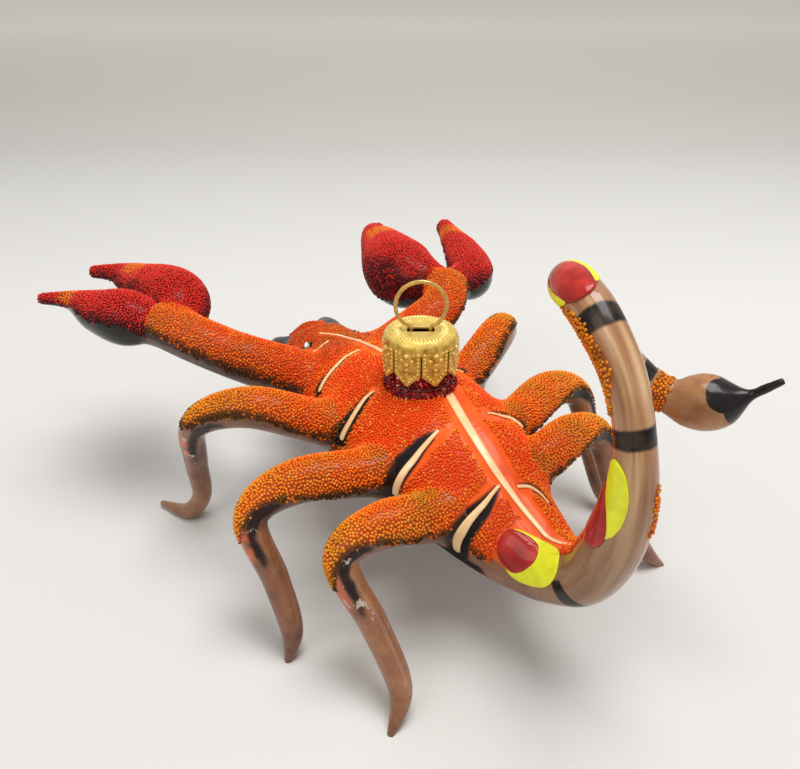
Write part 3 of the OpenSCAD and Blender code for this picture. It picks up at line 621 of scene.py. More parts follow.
def paintWork():
    turn = np.abs(angle)
    grain, patch = roughly(points, .6), roughly(points, .17, 7)
    ragged = 9 * grain + 10 * patch
    cover, tint, grime, dark = [np.zeros(len(points)) for i in range(4)]
    kinds = np.array([next(kind for kind in ("leg", "arm", "outer", "inner", "jaw", "spine") if kind in name.split("_"))
                      for name in limbNames])[owner]
    isFront = np.array(["front_leg" in name for name in limbNames])[owner]
    bareSide = np.where(owner == limbNames.index("right_front_leg"), coats["bareSide"], 0)    # its rear side is bare
    clear = soft(stripeMargin + .5 * grain, -.22, .22)
    for kind in ("leg", "arm", "outer", "inner"):
        here = kinds == kind
        ahead = np.where(isFront, .3, 0) if kind == "leg" else 0
        edge = valueAt(coats[kind + "Edge"], along + ahead + .12 * grain) + ragged - bareSide
        cover[here] = (clear * (1 - soft(turn, edge - 3, edge + 3)) * (edge > 12))[here]
        if kind in ("leg", "arm"):
            tint[here] = (valueAt(coats[kind + "Tint"], along) + .3 * patch)[here]
            # painted shade: the beads darken towards the lower edge of their cover; the floor of .12 with patches is
            # darker tone at random
            grime[here] = np.maximum(.78 * soft(turn + 14 * patch, edge - 36, edge - 4), .12 + .2 * patch)[here]
        else:
            low = 105 if kind == "outer" else 60
            streak = soft(.5 - np.abs(along - coats["streaks"][kind] + .25 * patch), 0, .35) \
                * (1 - soft(turn + 12 * grain, low - 30, low))
            root = 1 - soft(along + .25 * grain + .3 * patch, .02, .22)
            tint[here] = np.maximum(.9 * streak, root)[here] + (.15 * soft(grain, .2, .5))[here]
            # painted shade: the claw's beads darken from the top of each lobe towards its sides, and towards the lower
            # edge of their cover
            shaded = .62 * soft(turn + 30 * patch, 36, 90) * (1 - streak)
            grime[here] = np.maximum(soft(turn, edge - 14, edge), shaded)[here]
    here = kinds == "leg"
    # a dark strip under the bead edge near the hip and at the knee: black lacquer with painted shade
    low = valueAt(coats["legInk"], along) + ragged
    inkAndShadeStretch = between(along + .1 * grain, .2, 1.15, .2) + between(along + .1 * grain, 2.35, 3.72, .12)
    dark[here] = (between(turn, low, low + valueAt(coats["legInkWide"], along), 7) * inkAndShadeStretch)[here]
    here = kinds == "arm"
    # a dark strip on the underside of the arm: black lacquer with painted shade
    dark[here] = (.85 * between(turn + ragged, 104, 120, 8))[here]
    here = (kinds == "spine") & (along < coats["baseEnd"] + .3)
    edge = valueAt(coats["bodyEdge"], along) + ragged
    end = np.where(angle < 2, coats["bodyEnd"][1], coats["bodyEnd"][0]) + .12 * grain
    onBack = clear * (1 - soft(turn, edge - 3, edge + 3)) * (1 - soft(along, end - .06, end + .06))
    onBase = soft(along, 8.6, 8.7) * (1 - soft(along, coats["baseEnd"] - .1, coats["baseEnd"] + .1)) \
        * (1 - soft(turn, coats["baseEdge"] + ragged - 4, coats["baseEdge"] + ragged + 4))
    cover[here] = np.maximum(onBack, onBase)[here]
    tint[here] = (.08 + .3 * soft(3 - stripeMargin, 0, 2.4) + .4 * patch + .25 * soft(turn, 70, 100))[here]
    # painted shade: the body's beads darken towards the lower edge of their cover and towards the head
    grime[here] = np.maximum(.8 * soft(turn, edge - 16, edge), .3 * (1 - soft(along + .4 * patch, 2.2, 2.9)))[here]
    # painted shade: a dark patch low on the side of the body near the rear leg
    start, finish, high, low = coats["foot"]
    dark[here] = (between(angle, high, low, 3) * between(along, start, finish, .1))[here]
    here = (kinds == "spine") & (along > coats["baseEnd"] + .3)
    crook = valueAt(coats["crook"], along) + ragged * (along > 12.3) * (along < 14.6)
    low, high, first, last = coats["outer"]
    strip = soft(along, low, low + .15) * (1 - soft(along, high - .15, high)) \
        * soft(angle + 8 * grain, first, first + 8) * (1 - soft(angle + 8 * grain, last - 8, last))
    low, high = coats["collar"]
    collar = soft(along + .06 * grain, low, low + .06) * (1 - soft(along + .06 * grain, high - .06, high))
    cover[here] = np.maximum(np.maximum((1 - soft(turn, crook - 3, crook + 3)) * (crook > 5), strip), collar)[here]
    tint[here] = (.8 + .3 * patch)[here]
    grime[here] = .18 + .3 * grain[here]
    black = np.maximum(ink, dark)
    warm = (1 - soft(np.abs(spineAngle) + 8 * grain, 88, 98)) * (1 - soft(stripeGap, 2, 3.6)) * nearBody
    warm *= 1 - soft(turn + 8 * grain, 80, 96)
    edge = valueAt(coats["warmEdge"], along) - 8 * grain
    warm[onSpine] = ((1 - soft(turn, edge - 4, edge + 3)) * (1 - soft(along, 8.62, 8.75)))[onSpine]
    eyeGap = np.min([np.linalg.norm(points - spine.skin(eye["station"], eye["turn"] * side)[0], axis=1)
                     for side in (1, -1)], 0)
    cover = cover * soft(eyeGap + .2 * grain, 1.15, 1.5)
    black = np.maximum(black, 1 - soft(eyeGap, 1.5, 2.1))
    return {"along": along, "turn": turn, "cover": cover, "grime": np.maximum(grime, .8 * ink),
            "tint": np.clip(tint, 0, 1), "ink": black, "warm": warm}


marks = paintWork()
for name, values in marks.items():
    glass.attributes.new(name, "FLOAT", "POINT").data.foreach_set("value", values.astype(np.float32))
facing = np.empty(len(points) * 3, np.float32)
glass.vertex_normals.foreach_get("vector", facing)
glass.attributes.new("facing", "FLOAT_VECTOR", "POINT").data.foreach_set("vector", facing)
print("paint work", {name: round(float(values.mean()), 3) for name, values in marks.items()})


# The fused glass is cut into its pieces, and each cut is closed

def cutGlass():
    names = ["body_shell", "tail_tube", "stinger_bulb", "stinger_spike"]
    names += [name for name in limbNames if name != "spine"]
    part = np.select([along < tailStart, along < bulbStart, along < spikeStart], [0, 1, 2], 3)
    part = np.where(onSpine, part, owner + 3)
    labels = part[faces].max(1)
    for i in range(14):    # stray corners go to the piece around them
        votes = np.zeros((len(points), len(names)), np.float32)
        for column in range(4):
            np.add.at(votes, (faces[:, column], labels), 1)
        labels = (votes[faces[:, 0]] + votes[faces[:, 1]] + votes[faces[:, 2]] + votes[faces[:, 3]]).argmax(1)
    glass.polygons.foreach_set("material_index", labels.astype(np.int32))
    for name in names:
        glass.materials.append(bpy.data.materials.new("cut_" + name))
    for other in bpy.context.selected_objects:
        other.select_set(False)
    whole = link("glass", glass)
    bpy.context.view_layer.objects.active = whole
    whole.select_set(True)
    bpy.ops.object.mode_set(mode="EDIT")
    bpy.ops.mesh.select_all(action="SELECT")
    bpy.ops.mesh.separate(type="MATERIAL")
    bpy.ops.object.mode_set(mode="OBJECT")
    pieces = {}
    for piece in list(bpy.context.selected_objects):
        piece.select_set(False)
        pieces[piece.data.materials[0].name.removeprefix("cut_")] = piece
        piece.data.materials.clear()
    for name in names:
        bpy.data.materials.remove(bpy.data.materials["cut_" + name])
    return pieces


def closeCuts(name, piece):
    bm = bmesh.new()
    bm.from_mesh(piece.data)
    bmesh.ops.holes_fill(bm, edges=[edge for edge in bm.edges if edge.is_boundary], sides=0)
    for face in bm.faces:
        face.smooth = True
    closed = meshOf(bm, name)
    normals = np.empty(len(closed.vertices) * 3, np.float32)
    closed.attributes["facing"].data.foreach_get("vector", normals)
    closed.attributes.remove(closed.attributes["facing"])
    closed.transform(toFrame)
    closed.normals_split_custom_set_from_vertices([tuple(row) for row in normals.reshape(-1, 3)])
    return link(name, closed)


hosts = cutGlass()
print("cut glass", {name: len(piece.data.polygons) for name, piece in hosts.items()})


# Finishes of the glass

def lacquer(finish, light, middle, dark, scale=260):
    streaks = finish.cloud(scale, 5, .6, finish.stretched((1, .35, 1)))
    return finish.stops(streaks * .6 + finish.cloud(70, 2) * .5 - .05, (.3, dark), (.5, middle), (.72, light))


def orangeGround(finish):
    return finish.stops(finish.cloud(200, 3), (.3, (230, 78, 14)), (.55, (250, 96, 22)), (.75, (255, 112, 36)))


def underBeads(finish, tone, ground, darkAndShadeGround):
    # the ground under the beads darkens with the dark mark: painted shade at the lower edges of the cover and on the
    # claw sides, darker tone at random elsewhere
    shade = finish.blend(finish.mark("grime"), ground, darkAndShadeGround)
    finish.feed("Base Color", finish.blend(finish.mark("cover") * .9, tone, shade))


def bodyFinish():
    finish = Finish("paintedBody", Coat_Roughness=.08, Specular_IOR_Level=.2)
    cover, ink, warm = finish.marks("cover", "ink", "warm")
    finish.feed("Coat Weight", (1 - cover.most(ink)) * (.45 - warm * .3))
    tone = lacquer(finish, (182, 136, 102), (142, 98, 70), (100, 64, 46))
    tone = finish.blend(warm, tone, orangeGround(finish))
    tone = finish.blend(cover * .85, tone, (206, 62, 8))
    # the black mark darkens through brown to black: black lacquer, with painted shade low on the body near the rear leg
    tone = finish.blend(finish.ramp(ink, 0, .55), tone, (110, 42, 24))
    finish.feed("Base Color", finish.blend(finish.ramp(ink, .3, .9), tone, (18, 10, 11)))
    finish.feed("Roughness", .26 + finish.cloud(220, 4) * .2 + ink * .25)
    finish.bump(finish.cloud(900, 2), .00003, .4)
    return finish


tailBands = {"soft": .03, "rings": [(11.93, 12.25), (13.64, 13.93), (17.55, 17.86)],
             "root": (8.66, 8.93), "rootTurn": (74, 80)}


def tailFinish():
    finish = Finish("tailLacquer", Coat_Roughness=.05, Specular_IOR_Level=.25)
    along, cover, turn, warm = finish.marks("along", "cover", "turn", "warm")
    run = finish.node("CombineXYZ", {}, {0: turn * .04, 1: along * .5})
    streaks = finish.cloud(1, 2, .5, run) * .7 + finish.cloud(70, 2) * .3
    tone = finish.stops(streaks, (.34, (134, 88, 56)), (.5, (176, 126, 84)), (.66, (212, 172, 126)))
    tone = finish.blend((1 - finish.ramp(along, 9.6, 12)) * .6, tone, (112, 70, 46))
    tone = finish.blend(warm, tone, orangeGround(finish))
    tone = finish.blend(cover * .85, tone, (160, 72, 14))
    place = along + (finish.cloud(160, 3) * .12 - .06)
    bands = finish.within(place, *tailBands["root"], tailBands["soft"]) * finish.ramp(turn, *tailBands["rootTurn"])
    for low, high in tailBands["rings"]:
        bands = bands.most(finish.within(place, low, high, tailBands["soft"]))
    smudge = finish.ramp(finish.cloud(420, 4), .42, .6)
    finish.feed("Coat Weight", (1 - cover.most(bands * .8)) * .6)
    finish.feed("Base Color", finish.blend(bands * (.92 + smudge * .08), tone, (12, 9, 9)))
    finish.rough(.16, 120, 2, .2)
    finish.bump(finish.cloud(240, 3), .00012, .35)
    return finish


def stingerFinish():
    finish = Finish("stingerLacquer", Coat_Weight=.22, Coat_Roughness=.05, Specular_IOR_Level=.25)
    aside = (finish.mark("turn") - 58) / 50
    edge = finish.mark("along") + (finish.cloud(230, 2) * .25 - .12) - (aside * aside).least(1) * .66
    tone = lacquer(finish, (212, 164, 114), (176, 124, 80), (132, 86, 52), 330)
    finish.feed("Base Color", finish.blend(finish.ramp(edge, 21.32, 21.38), tone, (24, 15, 17)))
    finish.rough(.16, 160, 2, .2)
    finish.bump(finish.cloud(240, 3), .0001, .3)
    return finish


def legFinish():
    finish = Finish("legLacquer", Coat_Roughness=.08, Specular_IOR_Level=.3)
    along, turn, cover, ink, warm = finish.marks("along", "turn", "cover", "ink", "warm")
    finish.feed("Coat Weight", (1 - cover.most(ink)) * .6)
    smear = finish.cloud(330, 5, .65)
    chips = finish.within(along, 2.7, 3.85, .1) * finish.within(turn, 22, 98, 6) * finish.ramp(smear, .58, .61)
    rust = finish.within(along, 3.2, 3.6, .1) * (1 - finish.ramp(turn, 40, 60)) * finish.ramp(smear, .4, .5)
    tone = lacquer(finish, (176, 126, 88), (136, 88, 58), (90, 54, 36))
    tone = finish.blend(warm, tone, orangeGround(finish))
    # the black mark: black lacquer, with painted shade under the bead edge near the hip and knee
    tone = finish.blend(ink, tone, (38, 22, 19))
    tone = finish.blend(rust, tone, (206, 92, 52))
    tone = finish.blend(chips * finish.ramp(finish.cloud(700, 2), .42, .5), tone, (190, 172, 160))
    underBeads(finish, tone, (190, 74, 6), (40, 26, 12))
    finish.feed("Roughness", .2 + smear * .2)
    finish.bump(smear, .0001, .5)
    return finish


def armFinish():
    finish = Finish("armLacquer", Coat_Roughness=.1, Specular_IOR_Level=.3)
    cover, ink, warm = finish.marks("cover", "ink", "warm")
    finish.feed("Coat Weight", (1 - cover.most(ink)) * .4)
    tone = lacquer(finish, (140, 108, 92), (104, 76, 64), (62, 42, 38))
    tone = finish.blend(warm, tone, orangeGround(finish))
    # the black mark: black lacquer, with painted shade on the underside of the arm
    tone = finish.blend(ink, tone, (26, 18, 17))
    underBeads(finish, tone, (190, 72, 6), (36, 24, 12))
    finish.rough(.28, 200, 3, .2)
    return finish


def clawFinish():
    finish = Finish("clawGlass", Coat_Roughness=.04, Specular_IOR_Level=.2)
    along, cover, turn = finish.marks("along", "cover", "turn")
    finish.feed("Coat Weight", (1 - cover) * .25)
    smoke = finish.stops(finish.cloud(150, 4), (.3, (18, 16, 16)), (.6, (36, 33, 31)), (.8, (56, 50, 46)))
    dab = finish.within(along + finish.cloud(260, 2) * .5, 2.0, 2.9, .1) * finish.ramp(finish.cloud(500, 3), .5, .56)
    tone = finish.blend(dab * (1 - finish.ramp(turn, 60, 90)), smoke, (206, 92, 34))
    underBeads(finish, tone, (120, 16, 14), (28, 14, 14))
    finish.rough(.12, 180, 2, .15)
    return finish


jawGrey = [(.35, (34, 28, 30)), (.7, (66, 56, 56))]
finishes = {"body_shell": bodyFinish(), "tail_tube": tailFinish(), "leg": legFinish(), "arm": armFinish(),
            "finger": clawFinish(), "jaw": mottled("jawGlass", (240, 4), jawGrey, (.16, 180, 2, .2), Coat_Weight=.4,
                                                   Coat_Roughness=.06, Specular_IOR_Level=.35)}
finishes["stinger_bulb"] = finishes["stinger_spike"] = stingerFinish()


# Beads: small balls laid over the painted cover of each piece

beading = {"spacing": .46, "most": 26, "radius": .275, "sizes": (.9, 1.14), "lift": .11, "firstSeed": 40}
anyTurn = 3.1


def scatter(name, host, seed, plan, shape):
    tree = bpy.data.node_groups.new(name, "GeometryNodeTree")
    for way in ("INPUT", "OUTPUT"):
        tree.interface.new_socket("Geometry", in_out=way, socket_type="NodeSocketGeometry")
    start, end = tree.nodes.new("NodeGroupInput"), tree.nodes.new("NodeGroupOutput")
    cover = addNode(tree, "GeometryNodeInputNamedAttribute", {"data_type": "FLOAT"}, {"Name": "cover"})
    spots = addNode(tree, "GeometryNodeDistributePointsOnFaces", {"distribute_method": "POISSON"},
                    {"Mesh": start.outputs[0], "Distance Min": plan["spacing"], "Density Max": plan["most"],
                     "Density Factor": cover.outputs["Attribute"], "Seed": seed})
    lift = addNode(tree, "ShaderNodeVectorMath", {"operation": "SCALE"},
                   {0: spots.outputs["Normal"], "Scale": plan["lift"]})
    raised = addNode(tree, "GeometryNodeSetPosition", {},
                     {"Geometry": spots.outputs["Points"], "Offset": lift.outputs[0]})
    unit = shape(tree)
    size = addNode(tree, "FunctionNodeRandomValue", {"data_type": "FLOAT"},
                   {2: plan["sizes"][0], 3: plan["sizes"][1], "Seed": seed + 1})
    tilt = addNode(tree, "FunctionNodeRandomValue", {"data_type": "FLOAT_VECTOR"},
                   {0: (-anyTurn,) * 3, 1: (anyTurn,) * 3, "Seed": seed + 2})
    placed = addNode(tree, "GeometryNodeInstanceOnPoints", {},
                     {"Points": raised.outputs[0], "Instance": unit, "Rotation": tilt.outputs[0],
                      "Scale": size.outputs[1]})
    luck = addNode(tree, "FunctionNodeRandomValue", {"data_type": "FLOAT"}, {"Seed": seed + 3})
    stored = addNode(tree, "GeometryNodeStoreNamedAttribute", {"data_type": "FLOAT", "domain": "INSTANCE"},
                     {"Geometry": placed.outputs[0], "Name": "luck", "Value": luck.outputs[1]})
    real = addNode(tree, "GeometryNodeRealizeInstances", {}, {"Geometry": stored.outputs[0]})
    tree.links.new(real.outputs[0], end.inputs[0])
    layer = host.modifiers.new("scatter", "NODES")
    layer.node_group = tree
    mesh = baked(host)
    host.modifiers.remove(layer)
    mesh.name = name
    for mark in ("along", "turn", "cover", "ink", "warm", "facing"):
        if mark in mesh.attributes:
            mesh.attributes.remove(mesh.attributes[mark])
    mesh.transform(toFrame)
    return link(name, mesh)


def ball(tree):
    made = addNode(tree, "GeometryNodeMeshIcoSphere", {}, {"Radius": beading["radius"], "Subdivisions": 1})
    return addNode(tree, "GeometryNodeSetShadeSmooth", {}, {"Geometry": made.outputs["Mesh"]}).outputs[0]


def beadFinish(name, red, middle, yellow, dark, paintedGlint):
    finish = Finish(name, Coat_Weight=.12, Coat_Roughness=.08, Roughness=.45, Specular_IOR_Level=.18)
    luck = finish.mark("luck")
    tone = finish.stops(finish.mark("tint") + (luck - .5) * .3, (.05, red), (.5, middle), (.95, yellow))
    # painted glint: a few beads, picked at random, are lightened towards the glint colour as if they caught the light
    tone = finish.blend(finish.ramp(luck, .8, 1.2), tone, paintedGlint)
    # the beads darken and then turn black with the dark mark: painted shade towards the lower edges, claw sides and
    # head, darker tone at random elsewhere
    shade = finish.mark("grime") * finish.ramp(finish.cloud(900, 2) + luck * .45, .42, .72)
    tone = finish.blend(finish.ramp(shade, 0, .6), tone, dark)
    finish.feed("Base Color", finish.blend(finish.ramp(shade, .6, 1), tone, (30, 20, 10)))
    return finish


# the fourth colour is the dark of the painted shade, and the last one the painted glint
orangeBeads = beadFinish("orangeBeads", (246, 82, 10), (250, 116, 14), (246, 158, 30), (96, 62, 14),
                         (255, 188, 80))
redBeads = beadFinish("redBeads", (220, 44, 32), (228, 76, 36), (238, 122, 28), (104, 20, 24),
                      (214, 84, 66))


def dressGlass():
    for seed, (name, host) in enumerate(sorted(hosts.items())):
        kind = name.split("_")[-1]
        finish = finishes.get(name) or finishes[kind]
        slot = "black_glass" if kind in ("jaw", "spike") else "brown_glass"
        dress(closeCuts(name + "Glass", host), finish, "ornament", (name,))
        coat = {"body_shell": "body_beads", "tail_tube": "tail_beads"}.get(name, name + "_beads")
        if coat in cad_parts:
            beads = scatter(coat.replace("_beads", "Beads"), host, beading["firstSeed"] + seed, beading, ball)
            red = kind == "finger"
            dress(beads, redBeads if red else orangeBeads, "ornament", (coat,))
            print("beads", beads.name, len(beads.data.polygons) // 20)
    for host in hosts.values():
        drop(host)


dressGlass()


# Painted lines, spots and drops of enamel, laid on the glass

ribbon = {"rise": .1, "sunk": .04, "thick": .25, "pieces": 56, "steps": 400, "tip": .02}
daub = {"sunk": .05, "thick": .3, "pieces": 24}


def thickened(bm, name, thick):
    bmesh.ops.recalc_face_normals(bm, faces=bm.faces)
    bmesh.ops.solidify(bm, geom=bm.faces[:], thickness=thick)
    bmesh.ops.recalc_face_normals(bm, faces=bm.faces)
    return keep(bm, name)


def paintedLine(name, stripe):
    bm = bmesh.new()
    bmesh.ops.create_grid(bm, x_segments=4, y_segments=ribbon["pieces"], size=.5)
    steps = ribbon["steps"]
    station, turn, width = routeOf(stripe, steps + 1)
    places, outs = spine.skin(station, turn)
    length = np.linalg.norm(np.diff(places, axis=0), axis=1).sum()
    for vertex in bm.verts:
        across, share = vertex.co.x * 2, vertex.co.y + .5
        i = min(steps - 1, max(1, round(share * steps)))
        ahead = Vector(places[i + 1] - places[i - 1]).normalized()
        side = Vector(outs[i]).cross(ahead).normalized()
        tips = [max(0, 1 - 2 * length * reach / end) for reach, end in ((share, width[0]), (1 - share, width[-1]))]
        blunt = math.sqrt(max(0, 1 - max(tips) ** 2))
        spot = Vector(places[i]) + side * across * (width[i] * blunt + ribbon["tip"]) / 2
        vertex.co = laid(spot, outs[i], ribbon["rise"] * (1 - across * across) - ribbon["sunk"])
    return thickened(bm, name, ribbon["thick"])


def paintedSpot(name, outline, rise, power):
    bm = bmesh.new()
    bmesh.ops.create_grid(bm, x_segments=daub["pieces"], y_segments=daub["pieces"], size=1)
    edge = np.array(outline, float)
    count, centre = len(edge), edge.mean(0)
    for vertex in bm.verts:
        x, y = vertex.co.x, vertex.co.y
        u, v = x * math.sqrt(1 - y * y / 2), y * math.sqrt(1 - x * x / 2)
        radius = min(1, math.hypot(u, v))
        place = (math.atan2(v, u) / math.tau % 1) * count
        i, t = int(place) % count, place % 1
        a, b, c, d = [edge[(i + step) % count] for step in (-1, 0, 1, 2)]
        rim = curveAt(a, b, c, d, t)
        spot, out = spine.skin(*(centre + (rim - centre) * radius))
        vertex.co = laid(spot, out, rise * (1 - radius ** power) ** .5 - daub["sunk"])
    return thickened(bm, name, daub["thick"])


def oval(station, turn, long, wide, count=10):
    return [(station + long * math.cos(math.tau * i / count), turn + wide * math.sin(math.tau * i / count))
            for i in range(count)]


spots = {
    "rootYellow": {"outline": [(7.12, 32), (8.25, 18), (8.83, 29), (8.9, 62), (8.54, 88), (8.08, 93), (7.5, 88),
                               (7.1, 60)],
                   "rise": .12, "power": 6},
    "rootRed": {"outline": [(7.05, 36), (7.6, 28), (8.08, 30), (8.2, 50), (8.0, 70), (7.58, 82), (7.15, 74),
                            (6.98, 56)],
                "rise": .5, "power": 3, "replaces": "root_drop"},
    "uprightYellow": {"outline": oval(11.08, 74, .68, 47), "rise": .12, "power": 6},
    "uprightRed": {"outline": [(11.3, 40), (11.12, 56), (10.87, 78), (10.56, 94), (10.25, 87), (10.1, 58),
                               (10.28, 34), (10.8, 30)],
                   "rise": .6, "power": 3, "replaces": "upright_drop"},
    "crownYellow": {"outline": oval(14.66, 138, .47, 82), "rise": .12, "power": 6},
    "crownRed": {"outline": oval(14.6, 138, .5, 60), "rise": .18, "power": 3, "replaces": "crown_drop"}}


creamTones = [(.3, (250, 198, 136)), (.6, (255, 216, 158)), (.8, (255, 232, 190))]
yellowTones = [(.3, (228, 226, 8)), (.6, (246, 248, 14)), (.8, (255, 255, 48))]
redTones = [(.3, (150, 26, 22)), (.6, (192, 46, 38)), (.85, (224, 82, 68))]
creamPaint = mottled("creamPaint", (300, 4), creamTones, (.24, 500, 2, .2), (700, 3, .00004, .5),
                     Coat_Weight=.6, Coat_Roughness=.08)
yellowPaint = mottled("yellowPaint", (420, 5), yellowTones, (.32, 500, 2, .25), (800, 3, .00005, .6),
                      Coat_Weight=.3, Coat_Roughness=.2)
redEnamel = mottled("redEnamel", (260, 4), redTones, (.16, 300, 2, .12), (500, 2, .00003, .4),
                    Coat_Weight=.42, Coat_Roughness=.03, Specular_IOR_Level=.12)
for name, stripe in stripes.items():
    dress(paintedLine(name + "Line", stripe), creamPaint, "ornament")
for name, spot in spots.items():
    piece = paintedSpot(name, spot["outline"], spot["rise"], spot["power"])
    if "replaces" in spot:
        dress(piece, redEnamel, "ornament", (spot["replaces"],))
    else:
        dress(piece, yellowPaint, "ornament")
print("painted lines and spots", len(stripes) + len(spots))


# Eyes: a black drop with a white dab

def onHead(side, sizes, lift):
    spot, out = spine.skin(eye["station"], eye["turn"] * side)
    place = laid(spot, out, lift)
    turned = Vector(out).to_track_quat("Z", "X" if side > 0 else "Y").to_matrix().to_4x4()
    slant = Matrix.Rotation(math.radians(eye["slant"] * side), 4, "Z")
    return Matrix.Translation(place) @ turned @ slant @ Matrix.Diagonal((*sizes, 1))


eyeTones = {"Eye": ("eyeBlack", (14, 8, 8), (30, 18, 16)),
            "EyeDab": ("eyeWhite", (238, 230, 214), (252, 248, 240))}
eyeFinishes = {part: mottled(name, (600, 2), [(.3, low), (.7, high)], Coat_Weight=1, Coat_Roughness=.03, Roughness=.15)
               for part, (name, low, high) in eyeTones.items()}
for sideName, side in (("left", 1), ("right", -1)):
    for part, finish in eyeFinishes.items():
        bm = bmesh.new()
        bmesh.ops.create_uvsphere(bm, u_segments=20, v_segments=12, radius=1, matrix=onHead(side, *eye[part]))
        nodes = (sideName + "_eye",) if part == "Eye" else ()
        dress(keep(bm, sideName + part), finish, "ornament", nodes)
print("eyes")


# Cap, ring of wire and band of glitter

cap = {"outer": 6.9, "inner": 6.5, "foot": 38.85, "under": 46.85, "top": 47.25, "petals": 8, "point": 2.2,
       "slit": .3, "slitHeight": 6.3, "slot": (5, 1.8), "turn": -33.5, "steps": 96, "sharp": 35,
       "ribs": 44, "ribAt": (4.5, 0, -.08), "ribSize": (1.02, .2, .32, 1), "rimDots": 60, "rimAt": (5.62, -.06, .2),
       "studs": [(0, 6.0, .6), (-.15, 5.1, .44), (.15, 5.1, .44), (0, 4.3, .48), (0, 3.3, .4), (0, 2.4, .32),
                 (-.2, 6.4, .28), (.2, 6.4, .28)]}
capPlace = toFrame @ Matrix.Rotation(math.radians(cap["turn"]), 4, "Z")


def spun(bm, profile, steps):
    line = [bm.verts.new((radius, 0, height)) for radius, height in profile]
    edges = [bm.edges.new(pair) for pair in zip(line, line[1:])]
    bmesh.ops.spin(bm, geom=line + edges, cent=(0, 0, 0), axis=(0, 0, 1), angle=math.tau, steps=steps, use_merge=True)
    bmesh.ops.remove_doubles(bm, verts=bm.verts, dist=1e-4)
    bmesh.ops.recalc_face_normals(bm, faces=bm.faces)
    if bm.calc_volume(signed=True) < 0:
        bmesh.ops.reverse_faces(bm, faces=bm.faces)


def sharpen(mesh, degrees):
    bm = bmesh.new()
    bm.from_mesh(mesh)
    for edge in bm.edges:
        edge.smooth = edge.calc_face_angle(0) < math.radians(degrees)
    for face in bm.faces:
        face.smooth = True
    bm.to_mesh(mesh)
    bm.free()


def capCutters():
    long, wide = cap["slot"]
    yield "create_cube", {"size": 1}, Matrix.Translation((0, 0, cap["top"])) @ Matrix.Diagonal((long, wide, 3, 1))
    halfPetal = .94 * cap["inner"] * math.tan(math.pi / cap["petals"])
    radius = cap["point"] * 4 / 3
    spread = 2 * halfPetal / (radius * math.cos(math.pi / 6))
    tall = cap["slitHeight"] + 1
    prism = {"cap_ends": True, "segments": 3, "radius1": radius, "radius2": radius, "depth": 3}
    for i in range(cap["petals"]):
        turn = Matrix.Rotation(math.tau * i / cap["petals"], 4, "Z")
        yield ("create_cube", {"size": 1}, turn @ Matrix.Translation((cap["outer"], 0, cap["foot"] - 1 + tall / 2))
               @ Matrix.Diagonal((3, cap["slit"], tall, 1)))
        yield ("create_cone", prism, turn @ Matrix.Translation((cap["outer"], 0, cap["foot"] + cap["point"] - radius))
               @ Matrix.Rotation(math.pi / 2, 4, "Y") @ Matrix.Rotation(math.pi / 2, 4, "Z")
               @ Matrix.Diagonal((spread, 1, 1, 1)))


def capSheet():
    bm = bmesh.new()
    outer, inner, top, under, foot = [cap[key] for key in ("outer", "inner", "top", "under", "foot")]
    profile = [(0, top - .12), (3.3, top - .12), (3.5, top - .04), (3.7, top - .1), (5.3, top - .1), (5.5, top + .02),
               (5.7, top - .1), (6.3, top - .22), (6.65, top - .6), (6.83, top - 1), (outer - .05, top - 1.3),
               (outer + .02, top - 1.5), (outer, top - 1.8), (outer, foot + 3), (outer, foot), (inner, foot),
               (inner, foot + 3), (inner, under - 1), (6.26, under), (0, under)]
    spun(bm, profile, cap["steps"])
    sheet = keep(bm, "capSheet", matrix=Matrix())
    for shape, sizes, place in capCutters():
        bm = bmesh.new()
        getattr(bmesh.ops, shape)(bm, matrix=place, **sizes)
        cutter = keep(bm, "capCutter", matrix=Matrix())
        cut = sheet.modifiers.new("cut", "BOOLEAN")
        cut.operation, cut.solver, cut.object = "DIFFERENCE", "EXACT", cutter
        mesh = baked(sheet)
        drop(sheet)
        drop(cutter)
        sheet = link("capSheet", mesh)
    sharpen(sheet.data, cap["sharp"])
    sheet.data.transform(capPlace)
    return sheet


def capStamping():
    bm = bmesh.new()
    outer, top, foot = cap["outer"], cap["top"], cap["foot"]

    def stud(turn, radius, height, size, flat=1):
        place = Matrix.Rotation(turn, 4, "Z") @ Matrix.Translation((radius, 0, height))
        place = place @ Matrix.Diagonal((size * flat, size, size, 1))
        bmesh.ops.create_icosphere(bm, subdivisions=1, radius=1, matrix=place)

    for i in range(cap["ribs"]):
        spot = Matrix.Translation(Vector(cap["ribAt"]) + Vector((0, 0, top)))
        place = Matrix.Rotation(math.tau * i / cap["ribs"], 4, "Z") @ spot @ Matrix.Diagonal(cap["ribSize"])
        bmesh.ops.create_uvsphere(bm, u_segments=8, v_segments=6, radius=1, matrix=place)
    radius, height, size = cap["rimAt"]
    for i in range(cap["rimDots"]):
        stud(math.tau * (i + .5) / cap["rimDots"], radius, top + height, size)
    pitch = math.tau / cap["petals"]
    for i in range(cap["petals"]):
        middle = pitch * (i + .5)
        for sign in (-1, 1):
            for j in range(6):      # beaded edge beside the slit
                stud(middle + sign * (pitch / 2 - .085), outer, foot + 2.75 + .74 * j, .33, .8)
            for j in range(4):      # beaded edge of the point
                share = j / 4
                stud(middle + sign * (pitch / 2 - .1) * (1 - share), outer, foot + 2.25 * (1 - share) + .42, .27)
        for x, z, size in cap["studs"]:
            stud(middle + x, outer - .05, foot + z, size, .7)
    return keep(bm, "capStamping", matrix=capPlace)


hanger = {"wire": .37, "ring": 4.6, "gate": 1.88, "splay": 3.78, "depth": 8, "seat": .8, "points": 14}


